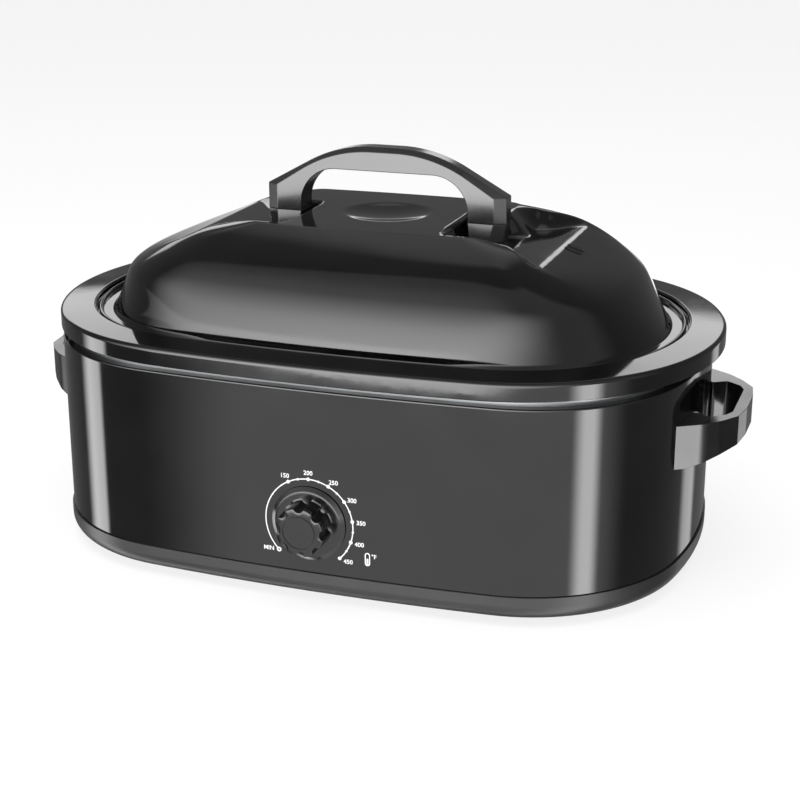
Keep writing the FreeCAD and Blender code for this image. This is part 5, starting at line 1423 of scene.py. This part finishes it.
@dataclass
class Studio:
    """A plain pale floor and plain soft light."""

    room: float = 0.22
    overhead: float = 55.0
    # the overhead lamp in metres: its sides, its place and what it points at
    overhead_sides: Pair = (2.4, 1.8)
    overhead_place: Triple = (-0.1, -0.35, 2.1)
    overhead_aim: Triple = (0.0, 0.0, 0.1)
    floor_glow: float = 0.82
    floor_half: float = 30000.0
    # the lit stretch of table: its far and near edge, its half width and height, then its light
    table_ends: Pair = (-9000.0, -728.0)
    table_half: float = 9000.0
    table_height: float = 1.0
    table_base: float = 0.3
    table_middle: float = -12.0
    table_across: Window = (-70.0, -2.0, 2.0, 76.0)
    table_strength: float = 8.4

    def window(self, tree: bpy.types.NodeTree, value: bpy.types.NodeSocket,
               edges: Window) -> bpy.types.NodeSocket:
        """A smooth window: 0, rising to 1, then falling to 0.

        Args:
            tree: the world's or material's nodes.
            value: what the window is over.
            edges: where it begins, is full, starts to fade and ends.

        Returns:
            The window's value.
        """
        rise = add_node(tree, "ShaderNodeMapRange", {"interpolation_type": "SMOOTHSTEP"},
                        {"Value": value, "From Min": edges[0], "From Max": edges[1]}).outputs["Result"]
        fall = add_node(tree, "ShaderNodeMapRange", {"interpolation_type": "SMOOTHSTEP"},
                        {"Value": value, "From Min": edges[2], "From Max": edges[3],
                         "To Min": 1.0, "To Max": 0.0}).outputs["Result"]
        return add_node(tree, "ShaderNodeMath", {"operation": "MULTIPLY"}, {0: rise, 1: fall}).outputs[0]

    def degrees(self, tree: bpy.types.NodeTree, operation: str,
                *values: bpy.types.NodeSocket) -> bpy.types.NodeSocket:
        """An angle in degrees, from a trigonometric operation on its inputs."""
        angle = add_node(tree, "ShaderNodeMath", {"operation": operation}, dict(enumerate(values)))
        return add_node(tree, "ShaderNodeMath", {"operation": "DEGREES"}, {0: angle.outputs[0]}).outputs[0]

    def azimuth(self, tree: bpy.types.NodeTree, parts: bpy.types.Node) -> bpy.types.NodeSocket:
        """Degrees round from straight in front, towards +X."""
        front = add_node(tree, "ShaderNodeMath", {"operation": "MULTIPLY"}, {0: parts.outputs[1], 1: -1.0})
        return self.degrees(tree, "ARCTAN2", parts.outputs[0], front.outputs[0])

    def around(self, tree: bpy.types.NodeTree, azimuth: bpy.types.NodeSocket,
               middle: float) -> bpy.types.NodeSocket:
        """Degrees round from a lamp's middle, from -180 to 180."""
        off = add_node(tree, "ShaderNodeMath", {"operation": "SUBTRACT"}, {0: azimuth, 1: middle})
        return add_node(tree, "ShaderNodeMath", {"operation": "WRAP"},
                        {0: off.outputs[0], 1: 180.0, 2: -180.0}).outputs[0]

    def light_room(self) -> None:
        """The world: the room and its lamps for the object, plain white for the camera."""
        world = bpy.data.worlds.new("studio_room")
        bpy.context.scene.world = world
        world.use_nodes = True
        tree = world.node_tree
        tree.nodes.clear()
        parts = add_node(tree, "ShaderNodeSeparateXYZ", None,
                         {0: add_node(tree, "ShaderNodeTexCoord").outputs["Generated"]})
        azimuth = self.azimuth(tree, parts)
        elevation = self.degrees(tree, "ARCSINE", parts.outputs[2])
        total: bpy.types.NodeSocket | float = self.room
        for lamp in LAMPS:
            across = self.window(tree, self.around(tree, azimuth, lamp.middle), lamp.across)
            up = self.window(tree, elevation, lamp.up)
            both = add_node(tree, "ShaderNodeMath", {"operation": "MULTIPLY"}, {0: across, 1: up})
            total = add_node(tree, "ShaderNodeMath", {"operation": "MULTIPLY_ADD"},
                             {0: both.outputs[0], 1: lamp.strength, 2: total}).outputs[0]
        room = add_node(tree, "ShaderNodeBackground", None, {"Strength": total})
        plain = add_node(tree, "ShaderNodeBackground", None, {"Strength": 1.0})
        seen = add_node(tree, "ShaderNodeLightPath").outputs["Is Camera Ray"]
        mixed = add_node(tree, "ShaderNodeMixShader", None,
                         {0: seen, 1: room.outputs[0], 2: plain.outputs[0]})
        add_node(tree, "ShaderNodeOutputWorld", None, {"Surface": mixed.outputs[0]})
        world.cycles.sampling_method = "NONE"

    def light_overhead(self) -> None:
        """A broad overhead lamp that fills matt surfaces and throws the soft shadow on the floor."""
        lamp = bpy.data.lights.new("overhead_box", "AREA")
        lamp.shape, lamp.energy = "RECTANGLE", self.overhead
        lamp.size, lamp.size_y = self.overhead_sides
        holder = put_in_scene("overhead_box", lamp)
        holder.location = self.overhead_place
        aim = Vector(self.overhead_aim) - holder.location
        holder.rotation_euler = aim.to_track_quat("-Z", "Y").to_euler()
        holder.visible_glossy = False
        holder.visible_camera = False

    def sheet(self, name: str, half: float, ends: Pair, height: float) -> bpy.types.Object:
        """A level rectangle round X = 0, from one Y to another.

        Args:
            name: its name.
            half: half its width.
            ends: Y of its two edges.
            height: its height.

        Returns:
            The rectangle.
        """
        form = Form(name)
        near, far = ends
        form.faces.append(form.add([(-half, near, height), (half, near, height),
                                    (half, far, height), (-half, far, height)]))
        return put_in_scene(name, form.mesh())

    def lay_floor(self) -> None:
        """The pale floor: white to the camera and in reflections, and still dimmed by the shadow."""
        half = self.floor_half
        floor = self.sheet("studio_floor", half, (-half, half), 0.0)
        made = blank_material("Paper_white_floor")
        tree = made.node_tree
        path = add_node(tree, "ShaderNodeLightPath").outputs
        seen = add_node(tree, "ShaderNodeMath", {"operation": "MAXIMUM"},
                        {0: path["Is Camera Ray"], 1: path["Is Transmission Ray"]})
        seen = add_node(tree, "ShaderNodeMath", {"operation": "MAXIMUM"},
                        {0: seen.outputs[0], 1: path["Is Glossy Ray"]})
        share = add_node(tree, "ShaderNodeMath", {"operation": "MULTIPLY"},
                         {0: seen.outputs[0], 1: self.floor_glow})
        paper = add_node(tree, "ShaderNodeBsdfDiffuse", None, {"Color": srgb("#f2f2f2")})
        glow = add_node(tree, "ShaderNodeEmission", None, {"Strength": 1.0})
        mixed = add_node(tree, "ShaderNodeMixShader", None,
                         {0: share.outputs[0], 1: paper.outputs[0], 2: glow.outputs[0]})
        add_node(tree, "ShaderNodeOutputMaterial", None, {"Surface": mixed.outputs[0]})
        floor.data.materials.append(made)
        floor.visible_glossy = False

    def lay_glow(self) -> None:
        """The lit stretch of table in front, seen only in the object's gloss."""
        card = self.sheet("studio_table_light", self.table_half, self.table_ends, self.table_height)
        made = blank_material("Paper_lit_table")
        tree = made.node_tree
        parts = add_node(tree, "ShaderNodeSeparateXYZ", None,
                         {0: add_node(tree, "ShaderNodeTexCoord").outputs["Object"]})
        off = self.around(tree, self.azimuth(tree, parts), self.table_middle)
        total = add_node(tree, "ShaderNodeMath", {"operation": "MULTIPLY_ADD"},
                         {0: self.window(tree, off, self.table_across), 1: self.table_strength,
                          2: self.room + self.table_base}).outputs[0]
        glow = add_node(tree, "ShaderNodeEmission", None, {"Strength": total})
        add_node(tree, "ShaderNodeOutputMaterial", None, {"Surface": glow.outputs[0]})
        card.data.materials.append(made)
        for ray in ("camera", "diffuse", "transmission", "shadow", "volume_scatter"):
            setattr(card, f"visible_{ray}", False)

    def build(self) -> None:
        """Set up the light and the floor."""
        self.light_room()
        self.light_overhead()
        self.lay_floor()
        self.lay_glow()


@dataclass
class Viewpoint:
    """The camera: its angles in degrees, its lens and sensor in millimetres and its place."""

    azimuth: float = 19.323
    elevation: float = 18.568
    lens: float = 74.957
    sensor: float = 36.0
    place: Triple = (455.67, -1269.16, 561.16)
    # the nearest and farthest that it sees, in metres
    clip: Pair = (0.05, 100.0)

    def build(self) -> None:
        """Put the camera in its place and make it the scene's."""
        camera = bpy.data.cameras.new("camera")
        camera.lens, camera.sensor_width = self.lens, self.sensor
        camera.clip_start, camera.clip_end = self.clip
        holder = put_in_scene("camera", camera)
        turn, lift = math.radians(self.azimuth), math.radians(self.elevation)
        back = Vector((math.sin(turn) * math.cos(lift), -math.cos(turn) * math.cos(lift), math.sin(lift)))
        holder.location = Vector(self.place) * MM
        holder.rotation_mode = "QUATERNION"
        holder.rotation_quaternion = (-back).to_track_quat("-Z", "Y")
        bpy.context.scene.camera = holder


def main() -> None:
    """Build every sub-assembly in order, then the studio and the camera."""
    logging.basicConfig(level=logging.INFO, format="%(name)s: %(message)s")
    bpy.context.scene.view_settings.view_transform = "Standard"
    feet = [f"foot_{row}_{side}" for row in ("front", "rear") for side in ("left", "right")]
    CarriedPieces({name: Bevel(0.8) for name in feet}).dress()
    shell = BodyShell()
    shell.build()
    InsertPan().build()
    lid = Lid()
    lid.build()
    lid.build_lips()
    LidHandle().build()
    for side, sign in (("left", -1), ("right", 1)):
        EndHandle().build(side, sign)
    Knob().build()
    DialScale(shell).build()
    Studio().build()
    Viewpoint().build()


if __name__ == "__main__":
    main()
